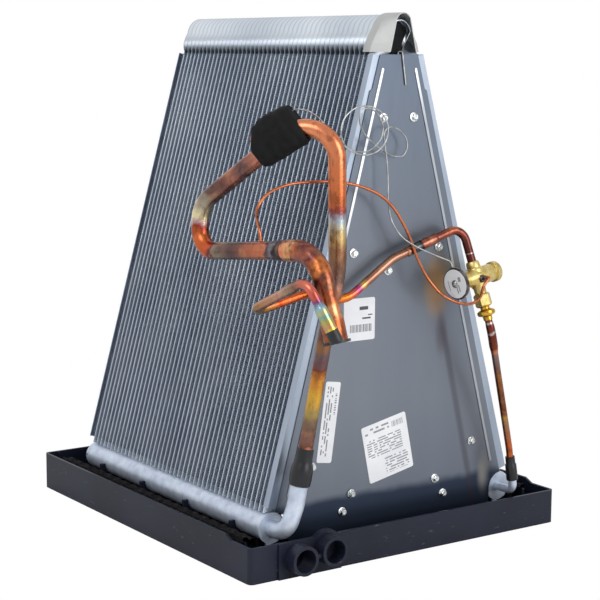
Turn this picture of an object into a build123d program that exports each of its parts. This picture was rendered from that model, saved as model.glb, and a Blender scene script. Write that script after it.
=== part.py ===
"""Uncased microchannel A-coil evaporator on a drain pan, with its suction line,
liquid line and expansion valve.  Millimetres, +Z up, -Y is the piping side.
The origin is on the floor, under the middle of the drain pan."""
from build123d import *
import math
import os

# ------------------------------------------------------------ driving dimensions
# Drain pan
pan_width = 432.0
pan_depth = 482.0
pan_side_height = 44.5
pan_front_height = 39.5
pan_wall = 3.0
pan_floor = 3.0
pan_corner = 6.0
dam_height = 24.0
dam_wall = 4.0
air_opening_width = 216.0
air_opening_depth = 372.0
drain_bore = 25.4
drain_wall = 3.6
drain_reach = 20.0
cradle_thickness = 4.0

# Headers
header_inset = 54.3
header_height = 44.0
header_od = 31.75
header_front = 198.0
header_back = 200.0
cap_thickness = 3.0

# Flat tubes and fins
tube_count = 44
tube_pitch = 9.08
tube_width = 25.4
tube_thickness = 1.3
core_top_half = 20.3
fin_start = 21.0
fin_top = 525.0
fin_depth = 24.0
bend_radius = 17.0
arch_rise = 24.4
shingle_tilt = 14.0

# Sheet metal
channel_thickness = 1.2
channel_flange = 9.5
channel_gap = 0.2
plate_thickness = 1.2
plate_rise = 1.6
plate_step_drop = 37.2
plate_shoulder = 62.0
plate_foot = 20.0
plate_inset_top = 8.3
plate_inset_step = 5.8
plate_inset_foot = 11.0
bead_width = 3.2
bead_height = 0.9
wire_diameter = 2.0
band_thickness = 1.0
band_clearance = 0.6

# Piping
suction_od = 19.05
riser_od = 15.88
outlet_od = 22.2
copper_wall = 1.2
bell_od = 24.5
bell_length = 22.0
liquid_od = 9.53
liquid_wall = 0.8
liquid_socket_od = 12.7
strainer_od = 12.4
drop_od = 7.94
drop_stub_od = 9.5
sleeve_wall = 1.5
equalizer_od = 3.3
capillary_od = 1.6
bulb_diameter = 12.0
bulb_length = 50.0
joint_gap = 0.15

# Expansion valve
valve_radius = 9.5
head_radius = 18.5
outlet_hex = 20.0
outlet_flange = 21.0

# ------------------------------------------------------------ derived places
header_x = pan_width / 2 - header_inset
header_r = header_od / 2
lean_rad = math.asin((header_x - core_top_half) / fin_top)
core_top = header_height + fin_top * math.cos(lean_rad)
bend_height = core_top + arch_rise
plate_top = core_top + plate_rise
plate_step = plate_top - plate_step_drop
lean_tan = math.tan(lean_rad)
core_half = (tube_count - 1) / 2 * tube_pitch + tube_pitch - tube_thickness / 2
fin_height = tube_pitch - tube_thickness
tube_rows = [(row - (tube_count - 1) / 2) * tube_pitch for row in range(tube_count)]
fin_rows = [(row - tube_count / 2) * tube_pitch for row in range(tube_count + 1)]
web_face = core_half + channel_thickness
plate_face = web_face + plate_thickness
cap_face = header_front + cap_thickness
wall_front = pan_depth / 2
# The piping follows the headers when the pan is made wider or narrower
pipe_spread = header_x - 161.7

os.makedirs("parts", exist_ok=True)


def write(piece, name):
    """Label one finished sub-part and write it as its own STEP file."""
    piece.part.label = name
    export_step(piece.part, f"parts/{name}.step")


def left(x, y, z):
    """Piping point that moves with the left header."""
    return Vector(x - pipe_spread, y, z)


def right(x, y, z):
    """Piping point that moves with the right header."""
    return Vector(x + pipe_spread, y, z)


def slab_plane(side, distance):
    """Plane across a slab, distance up it from the header axis; its x points out."""
    along = Vector(-side * math.sin(lean_rad), 0, math.cos(lean_rad))
    outward = Vector(side * math.cos(lean_rad), 0, math.sin(lean_rad))
    foot = Vector(side * header_x, 0, header_height)
    return Plane(origin=foot + along * distance, x_dir=outward, z_dir=along)


def slab_face_x(height):
    """Half width of the A over the outer faces of the slabs at a height."""
    half = tube_width / 2 / math.cos(lean_rad)
    return header_x - (height - header_height) * lean_tan + half


def run_length(first, second):
    return (Vector(*second) - Vector(*first)).length


def turn_angle(first, corner, last):
    """Turn of a route at a corner, in radians."""
    incoming = Vector(*corner) - Vector(*first)
    outgoing = Vector(*last) - Vector(*corner)
    return math.radians(incoming.get_angle(outgoing))


def largest_radii(points, share=0.45):
    """Bend radii of a formed tube, each as large as its two runs allow."""
    radii = []
    for first, corner, last in zip(points, points[1:], points[2:]):
        run = min(run_length(first, corner), run_length(corner, last))
        radii.append(share * run / math.tan(turn_angle(first, corner, last) / 2))
    return radii


def bent_tube(points, radii, outer, wall=0.0):
    """Round tube along straight runs joined by tangent arcs."""
    with BuildPart() as tube:
        with BuildLine() as route:
            if radii:
                FilletPolyline(*points, radius=radii)
            else:
                Line(*points)
        with BuildSketch(Plane(origin=route.line @ 0, z_dir=route.line % 0)):
            Circle(outer / 2)
            if wall:
                Circle(outer / 2 - wall, mode=Mode.SUBTRACT)
        sweep()
    return tube


def ring(start, direction, outer, inner, length):
    """Collar around a tube, from a point along a direction."""
    with BuildPart() as collar:
        with BuildSketch(Plane(origin=start, z_dir=direction)):
            Circle(outer / 2)
            if inner:
                Circle(inner / 2, mode=Mode.SUBTRACT)
        extrude(amount=length)
    return collar


# ------------------------------------------------------------ drain pan
port_low = (-header_x + 3.7, 21.5)
port_high = (-header_x + 42.2, 25.5)
port_r = drain_bore / 2 + drain_wall
boss_left = -header_x - 19.3
boss_right = -header_x + 62.7
boss_proud = 2.5
rim_step_start = 203.0
rim_step_end = 192.0
rail_inset = 17.0
rail_width = 4.0
cradle_half = 22.0
cradle_rows = [-150.0, -50.0, 50.0, 150.0]

with BuildPart() as drain_pan:
    with BuildSketch():
        RectangleRounded(pan_width, pan_depth, pan_corner)
    extrude(amount=pan_side_height)
    with BuildSketch(Plane.XY.offset(pan_floor)):
        RectangleRounded(pan_width - 2 * pan_wall, pan_depth - 2 * pan_wall, pan_corner - pan_wall)
    extrude(amount=pan_side_height, mode=Mode.SUBTRACT)
    # Lower rim across the front, with a sloping step on each side wall
    with BuildSketch(Plane.YZ):
        with BuildLine():
            Polyline(
                (-wall_front - pan_wall, pan_front_height),
                (-rim_step_start, pan_front_height),
                (-rim_step_end, pan_side_height),
                (-rim_step_end, 2 * pan_side_height),
                (-wall_front - pan_wall, 2 * pan_side_height),
                close=True,
            )
        make_face()
    extrude(amount=pan_width, both=True, mode=Mode.SUBTRACT)
    # Dam around the air opening
    with BuildSketch(Plane.XY):
        RectangleRounded(air_opening_width + 2 * dam_wall, air_opening_depth + 2 * dam_wall, 8)
    extrude(amount=dam_height)
    with BuildSketch(Plane.XY):
        RectangleRounded(air_opening_width, air_opening_depth, 5)
    extrude(amount=dam_height, mode=Mode.SUBTRACT)
    # Cradles that carry the headers
    for side in (-1, 1):
        for row in cradle_rows:
            with BuildSketch(Plane.XZ.offset(-row)):
                with Locations((side * header_x, header_height / 2)):
                    Rectangle(2 * cradle_half, header_height)
                with Locations((side * header_x, header_height)):
                    Circle(header_r + joint_gap, mode=Mode.SUBTRACT)
            extrude(amount=cradle_thickness / 2, both=True)
    # Rails along the side walls
    with BuildSketch(Plane.XY):
        with Locations(
            (-(pan_width / 2 - rail_inset), 0),
            (pan_width / 2 - rail_inset, 0),
        ):
            SlotOverall(pan_depth - 4 * rail_inset, rail_width, rotation=90)
    extrude(amount=pan_front_height - 4)
    # Thicker stretch of front wall with the two drain ports
    with BuildSketch(Plane.XZ.offset(wall_front - pan_wall)):
        with BuildLine():
            Polyline(
                (boss_left, 0),
                (boss_right, 0),
                (boss_right, pan_front_height),
                (boss_left, pan_front_height),
                close=True,
            )
        make_face()
        with Locations(port_high):
            Circle(port_r + 4.5)
    extrude(amount=pan_wall + boss_proud)
    with BuildSketch(Plane.XZ.offset(wall_front)):
        with Locations(port_low, port_high):
            Circle(port_r)
    extrude(amount=drain_reach)
    with BuildSketch(Plane.XZ.offset(wall_front)):
        with Locations(((port_low[0] + port_high[0]) / 2, (port_low[1] + port_high[1]) / 2)):
            Rectangle(10, 4)
    extrude(amount=drain_reach - 3)
    with BuildSketch(Plane.XZ.offset(wall_front + drain_reach)):
        with Locations(port_low):
            Circle(drain_bore / 2)
    extrude(amount=-(drain_reach + 2 * pan_wall), mode=Mode.SUBTRACT)
    with BuildSketch(Plane.XZ.offset(wall_front + drain_reach)):
        with Locations(port_high):
            Circle(drain_bore / 2)
    extrude(amount=-(drain_reach - 1), mode=Mode.SUBTRACT)
write(drain_pan, "drain_pan")

# ------------------------------------------------------------ headers and their caps
tab_width = 6.0
cap_rim = 1.4
dome_rise = 5.0
dome_r = (header_r ** 2 + dome_rise ** 2) / (2 * dome_rise)
dome_half = math.asin(header_r / dome_r) / 2
for side, name in ((-1, "left"), (1, "right")):
    axis_point = (side * header_x, header_height)
    with BuildPart() as header:
        with BuildSketch(Plane.XZ.offset(header_front)):
            with Locations(axis_point):
                Circle(header_r)
        extrude(amount=-(header_front + header_back))
    write(header, f"{name}_header")

    with BuildPart() as front_cap:
        with BuildSketch(Plane.XZ.offset(header_front)):
            with Locations(axis_point):
                Circle(header_r + cap_rim)
            with Locations((axis_point[0] - 4, header_height - header_r - 2)):
                Rectangle(tab_width, 6)
        extrude(amount=cap_thickness)
    write(front_cap, f"{name}_header_front_cap")

    with BuildPart() as back_cap:
        with BuildSketch(Plane.YZ.offset(side * header_x)):
            with BuildLine():
                Line((header_back, header_height), (header_back, header_height + header_r))
                ThreePointArc(
                    (header_back, header_height + header_r),
                    (header_back + dome_rise - dome_r * (1 - math.cos(dome_half)),
                     header_height + dome_r * math.sin(dome_half)),
                    (header_back + dome_rise, header_height),
                )
                Line((header_back + dome_rise, header_height), (header_back, header_height))
            make_face()
        revolve(axis=Axis((side * header_x, 0, header_height), (0, 1, 0)))
    write(back_cap, f"{name}_header_back_cap")

# ------------------------------------------------------------ flat tubes
# Each tube climbs one slab, twists until its outer edge faces the back, bends over
# the apex as a shingle and comes down the other slab.
slab_top = slab_plane(-1, fin_top).origin
centre_distance = math.hypot(slab_top.X, bend_height - slab_top.Z)
leg_lean = math.atan2(-slab_top.X, bend_height - slab_top.Z) - math.asin(bend_radius / centre_distance)
twist = 90.0 - shingle_tilt


def leg_plane(side, share):
    """Section of the twisting leg, from the fins (0) to the bend (1)."""
    foot = Vector(side * -slab_top.X, 0, slab_top.Z)
    crown = Vector(
        side * bend_radius * math.cos(leg_lean), 0, bend_height + bend_radius * math.sin(leg_lean)
    )
    turned = math.radians(twist * share)
    tilt = lean_rad + (leg_lean - lean_rad) * min(1.0, 2 * share)
    outward = Vector(side * math.cos(tilt), 0, math.sin(tilt))
    along = Vector(-side * math.sin(tilt), 0, math.cos(tilt))
    face = outward * math.cos(turned) + Vector(0, 1, 0) * math.sin(turned)
    return Plane(origin=foot + (crown - foot) * share, x_dir=face, z_dir=along)


with BuildPart() as one_tube:
    for side in (-1, 1):
        with BuildSketch(slab_plane(side, 0)):
            Rectangle(tube_width, tube_thickness)
        extrude(amount=fin_top)
        with BuildPart(mode=Mode.PRIVATE) as leg:
            for share in (0.0, 0.5, 1.0):
                with BuildSketch(leg_plane(side, share)):
                    Rectangle(tube_width, tube_thickness)
            loft(ruled=True)
        add(leg.part)
    with BuildLine(Plane.XZ) as crown_line:
        CenterArc(
            (0, bend_height), bend_radius, 180 - math.degrees(leg_lean), -(180 - 2 * math.degrees(leg_lean))
        )
    with BuildSketch(leg_plane(-1, 1.0)):
        Rectangle(tube_width, tube_thickness)
    sweep(path=crown_line.line)
    for side in (-1, 1):
        with BuildSketch(Plane.XZ):
            with Locations((side * header_x, header_height)):
                Circle(header_r)
        extrude(amount=tube_width, both=True, mode=Mode.SUBTRACT)

with BuildPart() as flat_tubes:
    with Locations(*[(0, row, 0) for row in tube_rows]):
        add(one_tube.part)
write(flat_tubes, "flat_tubes")

# ------------------------------------------------------------ fin packs
for side, name in ((-1, "left"), (1, "right")):
    with BuildPart() as fin_pack:
        with BuildSketch(slab_plane(side, fin_start)):
            with Locations(*[(0, row) for row in fin_rows]):
                Rectangle(fin_depth, fin_height)
        extrude(amount=fin_top - fin_start)
    write(fin_pack, f"{name}_fin_pack")

# ------------------------------------------------------------ side channels
# The front ones lap both faces of the slab, the back ones only its inner face.
channel_half = tube_width / 2 + channel_gap
for side, name in ((-1, "left"), (1, "right")):
    for end, where in ((-1, "front"), (1, "back")):
        with BuildPart() as channel:
            local = end * side
            open_side = channel_thickness + 0.1 if end > 0 else 0.0
            with BuildSketch(slab_plane(side, fin_start)):
                with Locations((0, local * (web_face - channel_flange / 2))):
                    Rectangle(2 * (channel_half + channel_thickness), channel_flange)
                with Locations((open_side / 2, local * (core_half - channel_flange / 2))):
                    Rectangle(2 * channel_half + open_side, channel_flange, mode=Mode.SUBTRACT)
            extrude(amount=fin_top - fin_start - 2)
        write(channel, f"{name}_{where}_channel")

# ------------------------------------------------------------ end plates
screw_points = [(21.0, 483.0), (59.5, 337.0), (113.5, 106.0), (60.0, 68.5), (72.0, 49.4)]
screw_points += [(-x, z) for x, z in screw_points] + [(-12.0, 315.0)]
shank_r = 1.9
notch_r = header_r + cap_rim + 1.0


def plate_edge(height, inset):
    return slab_face_x(height) + channel_thickness - inset


right_edge = [
    (plate_edge(plate_top, plate_inset_top), plate_top),
    (plate_edge(plate_step, plate_inset_top), plate_step),
    (plate_edge(plate_step - 2, plate_inset_step), plate_step - 2),
    (plate_edge(plate_shoulder, plate_inset_foot), plate_shoulder),
    (plate_edge(plate_shoulder, plate_inset_foot) - 12, plate_foot),
]
left_edge = [(-x, z) for x, z in reversed(right_edge)]

with BuildSketch() as plate_outline:
    with BuildLine():
        Polyline(*right_edge, *left_edge, close=True)
    make_face()
    with Locations((-header_x, header_height), (header_x, header_height)):
        Circle(notch_r, mode=Mode.SUBTRACT)
    with Locations((-header_x, header_height / 2), (header_x, header_height / 2)):
        Rectangle(2 * notch_r, header_height, mode=Mode.SUBTRACT)

with BuildPart() as front_plate:
    with BuildSketch(Plane.XZ.offset(web_face)):
        add(plate_outline.sketch)
        with Locations(*screw_points):
            Circle(shank_r + joint_gap, mode=Mode.SUBTRACT)
    extrude(amount=plate_thickness)
    bead_top = 535.0
    bead_foot = 79.0
    bead_inset = 16.0
    for side in (-1, 1):
        head = Vector(side * (plate_edge(bead_top, bead_inset)), bead_top)
        foot = Vector(side * (plate_edge(bead_foot, bead_inset) - 6), bead_foot)
        with BuildSketch(Plane.XZ.offset(plate_face)):
            with Locations((head + foot) / 2):
                SlotCenterToCenter(
                    (head - foot).length,
                    bead_width,
                    rotation=math.degrees(math.atan2(head.Y - foot.Y, head.X - foot.X)),
                )
        extrude(amount=bead_height)
write(front_plate, "front_plate")

with BuildPart() as back_plate:
    with BuildSketch(Plane.XZ.offset(-plate_face)):
        add(plate_outline.sketch)
        with Locations(*screw_points[:-1]):
            Circle(shank_r + joint_gap, mode=Mode.SUBTRACT)
    extrude(amount=plate_thickness)
write(back_plate, "back_plate")

for end, name, points in ((-1, "front", screw_points), (1, "back", screw_points[:-1])):
    with BuildPart() as screws:
        for x, z in points:
            outward = Plane(origin=(x, end * plate_face, z), x_dir=(1, 0, 0), z_dir=(0, end, 0))
            with BuildSketch(outward.offset(-6)):
                Circle(shank_r)
            extrude(amount=6)
            with BuildSketch(outward):
                Circle(4.4)
            extrude(amount=0.8)
            with BuildSketch(outward.offset(0.8)):
                RegularPolygon(3.5, 6, major_radius=False)
            extrude(amount=2.6)
    write(screws, f"{name}_screws")

# ------------------------------------------------------------ hook wire, foam, band
wire_r = wire_diameter / 2
wire_front = -(plate_face + wire_r + joint_gap)
wire_back = -(web_face - wire_r - joint_gap)
wire_top = plate_top + wire_r + joint_gap + 2
hook_wire = bent_tube(
    [
        (0, wire_back, plate_top - 9),
        (0, wire_back, wire_top),
        (3, wire_front, wire_top),
        (8.5, wire_front, plate_top - 33),
    ],
    [1.4, 1.4],
    wire_diameter,
)
write(hook_wire, "hook_wire")

foam_clearance = 0.9
radial_half = tube_width / 2 * math.cos(math.radians(twist)) + tube_thickness / 2
middle_half = tube_width / 2 * math.cos(math.radians(twist / 2)) + tube_thickness / 2
foam_foot = -slab_top.X - tube_width / 2 - foam_clearance
foam_middle = leg_plane(1, 0.5).origin.X - middle_half - foam_clearance
foam_r = bend_radius - radial_half - foam_clearance
with BuildPart() as foam_block:
    with BuildSketch(Plane.XZ.offset(core_half - 2.5)):
        with BuildLine():
            Polyline(
                (-foam_r, bend_height),
                (-foam_middle, leg_plane(1, 0.5).origin.Z),
                (-foam_foot, slab_top.Z - 2),
                (foam_foot, slab_top.Z - 2),
                (foam_middle, leg_plane(1, 0.5).origin.Z),
                (foam_r, bend_height),
            )
            RadiusArc((foam_r, bend_height), (-foam_r, bend_height), -foam_r)
        make_face()
    extrude(amount=-(2 * core_half - 2.5))
write(foam_block, "foam_block")


shingle_r = bend_radius + radial_half + band_clearance
band_foot_z = plate_top + 2.5
band_foot_x = slab_face_x(band_foot_z) + band_clearance
band_waist_z = leg_plane(1, 0.5).origin.Z
band_waist_x = leg_plane(1, 0.5).origin.X + middle_half + band_clearance + 0.5
crown_angle = math.radians(20)
# Sections of the band over the first tubes: distance forward, half widths at the foot and
# the waist, and the crown's centre height and radius
rim_forward = tube_rows[-1] + 18
rim_top = bend_height + shingle_r
band_sections = [
    (tube_rows[-1] - tube_width / 2 + 2, band_foot_x, band_waist_x, bend_height, shingle_r),
    (tube_rows[-1] + 2.2, band_foot_x, band_waist_x, bend_height, shingle_r),
    (rim_forward, 17.5, 15.2, rim_top - 9.5, 9.5),
]
with BuildPart() as front_band:
    for distance, foot_x, waist_x, crown_height, crown_r in band_sections:
        with BuildSketch(Plane.XZ.offset(distance)):
            for extra, how in ((band_thickness, Mode.ADD), (0.0, Mode.SUBTRACT)):
                reach = crown_r + extra
                crown = (reach * math.cos(crown_angle), crown_height + reach * math.sin(crown_angle))
                waist = (waist_x + extra, band_waist_z)
                foot = (foot_x + extra, band_foot_z)
                with BuildLine():
                    Polyline((-foot[0], foot[1]), (-waist[0], waist[1]), (-crown[0], crown[1]))
                    ThreePointArc((-crown[0], crown[1]), (0, crown_height + reach), crown)
                    Polyline(crown, waist, foot, (-foot[0], foot[1]))
                make_face(mode=how)
    loft(ruled=True)
write(front_band, "front_band")

# ------------------------------------------------------------ suction line
stub_floor = Vector(-header_x, -cap_face, header_height)
riser_foot = left(-147.5, -230.5, 92.0)
riser_rise = left(-113.0, -247.0, 318.0) - riser_foot


def on_riser(height):
    """Point on the axis of the suction riser at a height."""
    return riser_foot + riser_rise * ((height - riser_foot.Z) / riser_rise.Z)


riser_joint = on_riser(112.0)
riser_top = on_riser(308.0)
suction_stub = bent_tube(
    [stub_floor, Vector(-header_x, -228, header_height), on_riser(73.0), riser_joint],
    [17, 60],
    suction_od,
    copper_wall,
)
write(suction_stub, "suction_stub")

suction_riser = bent_tube([riser_joint, riser_top], [], riser_od, copper_wall)
write(suction_riser, "suction_riser")

sleeve_foot = on_riser(96.0)
with BuildPart() as suction_sleeve:
    with BuildSketch(Plane(origin=sleeve_foot, z_dir=riser_rise)):
        Circle(suction_od / 2 + sleeve_wall + 0.9)
    extrude(amount=23)
    with BuildSketch(Plane(origin=on_riser(118.5), z_dir=riser_rise)):
        Circle(riser_od / 2 + sleeve_wall)
    extrude(amount=14)
    with BuildSketch(Plane(origin=sleeve_foot, z_dir=riser_rise)):
        Circle(suction_od / 2 + joint_gap)
    extrude(amount=(riser_joint - sleeve_foot).length, mode=Mode.SUBTRACT)
    with BuildSketch(Plane(origin=sleeve_foot, z_dir=riser_rise)):
        Circle(riser_od / 2 + joint_gap)
    extrude(amount=60, mode=Mode.SUBTRACT)
write(suction_sleeve, "suction_sleeve")

loop_top = left(-116, -251, 509.5)
loop_fall = left(-179, -178, 434.5)
loop_back = left(-206, -128, 391.0)
loop_low = left(-206, -126, 341.0)
outlet_corner = left(-186, -316, 359.5)
outlet_end = left(-178, -338, 271)
outlet_run = (outlet_corner - loop_low).normalized()
loop_route = [
    on_riser(298.0),
    on_riser(330.0),
    loop_top,
    loop_fall,
    loop_back,
    loop_low,
    loop_low + outlet_run * 130,
]
loop_radii = [150, 33, 60, 36, 22]
suction_loop = bent_tube(loop_route, loop_radii, suction_od, copper_wall)
write(suction_loop, "suction_loop")

outlet_start = loop_low + outlet_run * 118
outlet_fall = (outlet_end - outlet_corner).normalized()
suction_outlet = bent_tube(
    [outlet_start, outlet_corner, outlet_end], [38], outlet_od, copper_wall
)
suction_outlet.part += ring(
    outlet_end - outlet_fall * bell_length, outlet_fall, bell_od, outlet_od - copper_wall, bell_length
).part
write(suction_outlet, "suction_outlet")

plug_head = 2.5
with BuildPart() as suction_plug:
    with BuildSketch(Plane(origin=outlet_end, z_dir=outlet_fall)):
        Circle(14.7)
    extrude(amount=plug_head)
    with BuildSketch(Plane(origin=outlet_end, z_dir=outlet_fall)):
        Circle(outlet_od / 2 - copper_wall - 2 * joint_gap)
    extrude(amount=-12)
write(suction_plug, "suction_plug")

# ------------------------------------------------------------ sensing bulb and its wrap
loop_slope = (loop_fall - loop_top).normalized()
bulb_side = (Vector(0, 0, 1) - loop_slope * loop_slope.Z).normalized()
bulb_offset = suction_od / 2 + bulb_diameter / 2 + joint_gap
strap_thickness = 0.6
wrap_gap = joint_gap + strap_thickness + joint_gap
wrap_wall = 4.6


def on_slope(distance):
    """Plane across the falling run of the loop; its x points at the bulb."""
    return Plane(origin=loop_top + loop_slope * distance, x_dir=bulb_side, z_dir=loop_slope)


bulb_start = 52.0
with BuildPart() as sensing_bulb:
    with BuildSketch(on_slope(bulb_start)):
        with Locations((bulb_offset, 0)):
            Circle(bulb_diameter / 2)
    extrude(amount=bulb_length)
    chamfer(sensing_bulb.edges().filter_by(GeomType.CIRCLE), 1.2)
write(sensing_bulb, "sensing_bulb")

with BuildPart() as bulb_straps:
    for distance in (74.0, 92.0):
        with BuildSketch(on_slope(distance)):
            Circle(suction_od / 2 + joint_gap + strap_thickness)
            with Locations((bulb_offset, 0)):
                Circle(bulb_diameter / 2 + joint_gap + strap_thickness)
            make_hull()
        extrude(amount=7)
        with BuildSketch(on_slope(distance)):
            Circle(suction_od / 2 + joint_gap)
            with Locations((bulb_offset, 0)):
                Circle(bulb_diameter / 2 + joint_gap)
            make_hull()
        extrude(amount=7, mode=Mode.SUBTRACT)
write(bulb_straps, "bulb_straps")

# Foam wrapped round the run and the bulb; it sags where the loop starts to bend
wrap_sections = [(47.0, 7.5), (68.0, 0.0), (109.0, 0.0)]
capillary_tail = [left(-107, -228, 466), left(-120, -228, 484.5), left(-138.5, -230, 494)]
bulb_end = on_slope(bulb_start).from_local_coords(Vector(bulb_offset, 0, -joint_gap))
with BuildPart() as bulb_wrap:
    for distance, sag in wrap_sections:
        with BuildSketch(on_slope(distance)):
            with Locations((-sag, 0)):
                Circle(suction_od / 2 + wrap_gap + wrap_wall)
            with Locations((bulb_offset, 0)):
                Circle(bulb_diameter / 2 + wrap_gap + wrap_wall)
            make_hull()
    loft(ruled=True)
    with BuildSketch(on_slope(wrap_sections[1][0])):
        Circle(suction_od / 2 + wrap_gap)
        with Locations((bulb_offset, 0)):
            Circle(bulb_diameter / 2 + wrap_gap)
        make_hull()
    extrude(amount=60, mode=Mode.SUBTRACT)
    with BuildSketch(on_slope(wrap_sections[0][0] - 1)):
        with Locations((bulb_offset, 0)):
            Circle(bulb_diameter / 2 + wrap_gap - 0.3)
    extrude(amount=60, mode=Mode.SUBTRACT)
    add(bent_tube([on_riser(330.0), loop_top, loop_top + loop_slope * 90], loop_radii[1:2],
                  suction_od + 2 * joint_gap).part, mode=Mode.SUBTRACT)
write(bulb_wrap, "bulb_wrap")

# ------------------------------------------------------------ expansion valve
valve = Plane(origin=right(85, -243, 304.7), x_dir=(0.984, 0.13, 0.12), z_dir=(-0.165, 0.252, 0.954))
socket_depth = 8.0
inlet_top = 18.0
body_top = 12.0
body_foot = -14.0
nut_top = -20.0
nut_foot = -37.0
flange_foot = -48.0
barrel_length = 27.0
barrel_radius = 9.0
neck_reach = -28.0
head_thickness = 9.0


def in_valve(x, y, z):
    return valve.from_local_coords(Vector(x, y, z))


across = Plane(origin=valve.origin, x_dir=-valve.y_dir, z_dir=valve.x_dir)
with BuildPart() as valve_body:
    with BuildSketch(valve.offset(body_foot)):
        Circle(valve_radius)
    extrude(amount=body_top - body_foot)
    with BuildSketch(valve.offset(body_top)):
        Circle(7.6)
    extrude(amount=inlet_top - body_top)
    with BuildSketch(valve.offset(nut_top)):
        Circle(6.8)
    extrude(amount=body_foot - nut_top)
    with BuildSketch(across):
        Circle(barrel_radius)
    extrude(amount=barrel_length)
    with BuildSketch(across):
        Circle(8)
    extrude(amount=neck_reach)
    with BuildSketch(valve.offset(inlet_top)):
        Circle(liquid_od / 2 + joint_gap)
    extrude(amount=-socket_depth, mode=Mode.SUBTRACT)
write(valve_body, "valve_body")

with BuildPart() as valve_cap:
    with BuildSketch(across.offset(barrel_length)):
        Circle(10.5)
    extrude(amount=5)
    chamfer(valve_cap.edges().sort_by(Axis(across.origin, across.z_dir))[-1], 1.2)
write(valve_cap, "valve_cap")

with BuildPart() as power_head:
    with BuildSketch(across.offset(neck_reach)):
        Circle(head_radius)
    extrude(amount=-head_thickness)
    chamfer(power_head.edges().filter_by(GeomType.CIRCLE), 2.2)
    with BuildSketch(across.offset(neck_reach - head_thickness)):
        Circle(6.5)
    extrude(amount=-1.5)
write(power_head, "power_head")

with BuildPart() as outlet_nut:
    with BuildSketch(valve.offset(nut_foot)):
        RegularPolygon(outlet_hex / 2, 6, major_radius=False)
    extrude(amount=nut_top - nut_foot)
write(outlet_nut, "outlet_nut")

with BuildPart() as outlet_collar:
    with BuildSketch(valve.offset(flange_foot)):
        Circle(outlet_flange / 2)
        Circle(drop_od / 2 + joint_gap, mode=Mode.SUBTRACT)
    extrude(amount=nut_foot - flange_foot)
write(outlet_collar, "outlet_collar")

# ------------------------------------------------------------ liquid line
elbow_corner = in_valve(0, 0, 59.5)
run_low = Vector(-18.5, -222, 330)
strainer_run = (elbow_corner - run_low).normalized()


def on_strainer(distance):
    return run_low + strainer_run * distance


liquid_cap_end = left(-192.5, -360, 274)
liquid_corner = left(-212, -335, 333.5)
liquid_drop = (liquid_cap_end - liquid_corner).normalized()
liquid_mouth = liquid_cap_end - liquid_drop * 13
strainer_start = 19.5
strainer_step = 41.0
strainer_end = 62.0
liquid_line = bent_tube(
    [
        liquid_mouth,
        liquid_corner,
        left(-210, -245, 295.2),
        left(-199.5, -229.5, 288.5),
        left(-127, -224, 302.5),
        left(-84.5, -222, 286.5),
        run_low,
        on_strainer(strainer_start + socket_depth),
    ],
    [13.8, 14, 14, 60, 40, 50],
    liquid_od,
    liquid_wall,
)
liquid_line.part += ring(
    liquid_mouth, liquid_drop * -1, liquid_socket_od, liquid_od - liquid_wall, 25
).part
write(liquid_line, "liquid_line")

with BuildPart() as liquid_plug:
    with BuildSketch(Plane(origin=liquid_mouth, z_dir=liquid_drop)):
        Circle(6.75)
    extrude(amount=13)
    with BuildSketch(Plane(origin=liquid_mouth, z_dir=liquid_drop)):
        Circle(liquid_od / 2 - liquid_wall - joint_gap)
    extrude(amount=-10)
    chamfer(liquid_plug.edges().filter_by(GeomType.CIRCLE).sort_by(
        Axis(liquid_mouth, liquid_drop))[-1], 1)
write(liquid_plug, "liquid_plug")

with BuildPart() as liquid_strainer:
    for start, end, outer in (
        (strainer_start, strainer_step, 11.6),
        (strainer_step, strainer_end, strainer_od),
    ):
        with BuildSketch(Plane(origin=on_strainer(start), z_dir=strainer_run)):
            Circle(outer / 2)
        extrude(amount=end - start)
    for start, depth in ((strainer_start, socket_depth), (strainer_end, -socket_depth)):
        with BuildSketch(Plane(origin=on_strainer(start), z_dir=strainer_run)):
            Circle(liquid_od / 2 + joint_gap)
        extrude(amount=depth, mode=Mode.SUBTRACT)
write(liquid_strainer, "liquid_strainer")

liquid_elbow = bent_tube(
    [on_strainer(strainer_end - socket_depth), elbow_corner, in_valve(0, 0, inlet_top - socket_depth)],
    [15],
    liquid_od,
    liquid_wall,
)
write(liquid_elbow, "liquid_elbow")

# ------------------------------------------------------------ drop to the right header
drop_port = Vector(header_x - 1.7, -cap_face, header_height)
drop_joint = right(152.5, -233, 80)
drop_slope = (Vector(drop_port.X, -231, header_height) - drop_joint).normalized()


def on_drop(height):
    """Point on the axis of the drop joint at a height."""
    return drop_joint + drop_slope * ((height - drop_joint.Z) / drop_slope.Z)


drop_tube = bent_tube(
    [
        in_valve(0, 0, nut_foot),
        in_valve(0, 0, flange_foot - 14),
        right(129.5, -240, 162),
        on_drop(98),
        drop_joint,
    ],
    [36, 120, 60],
    drop_od,
    liquid_wall,
)
write(drop_tube, "drop_tube")

drop_stub = bent_tube(
    [drop_joint, on_drop(header_height), drop_port],
    [11],
    drop_stub_od,
    liquid_wall,
)
write(drop_stub, "drop_stub")

with BuildPart() as drop_sleeve:
    for height, outer, length in ((69.0, drop_stub_od, 14), (82.0, drop_od, 11)):
        with BuildSketch(Plane(origin=on_drop(height), z_dir=drop_slope * -1)):
            Circle(outer / 2 + sleeve_wall)
        extrude(amount=length)
    with BuildSketch(Plane(origin=on_drop(69.0), z_dir=drop_slope * -1)):
        Circle(drop_od / 2 + joint_gap)
    extrude(amount=40, mode=Mode.SUBTRACT)
    with BuildSketch(Plane(origin=drop_joint, z_dir=drop_slope)):
        Circle(drop_stub_od / 2 + joint_gap)
    extrude(amount=20, mode=Mode.SUBTRACT)
write(drop_sleeve, "drop_sleeve")

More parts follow.
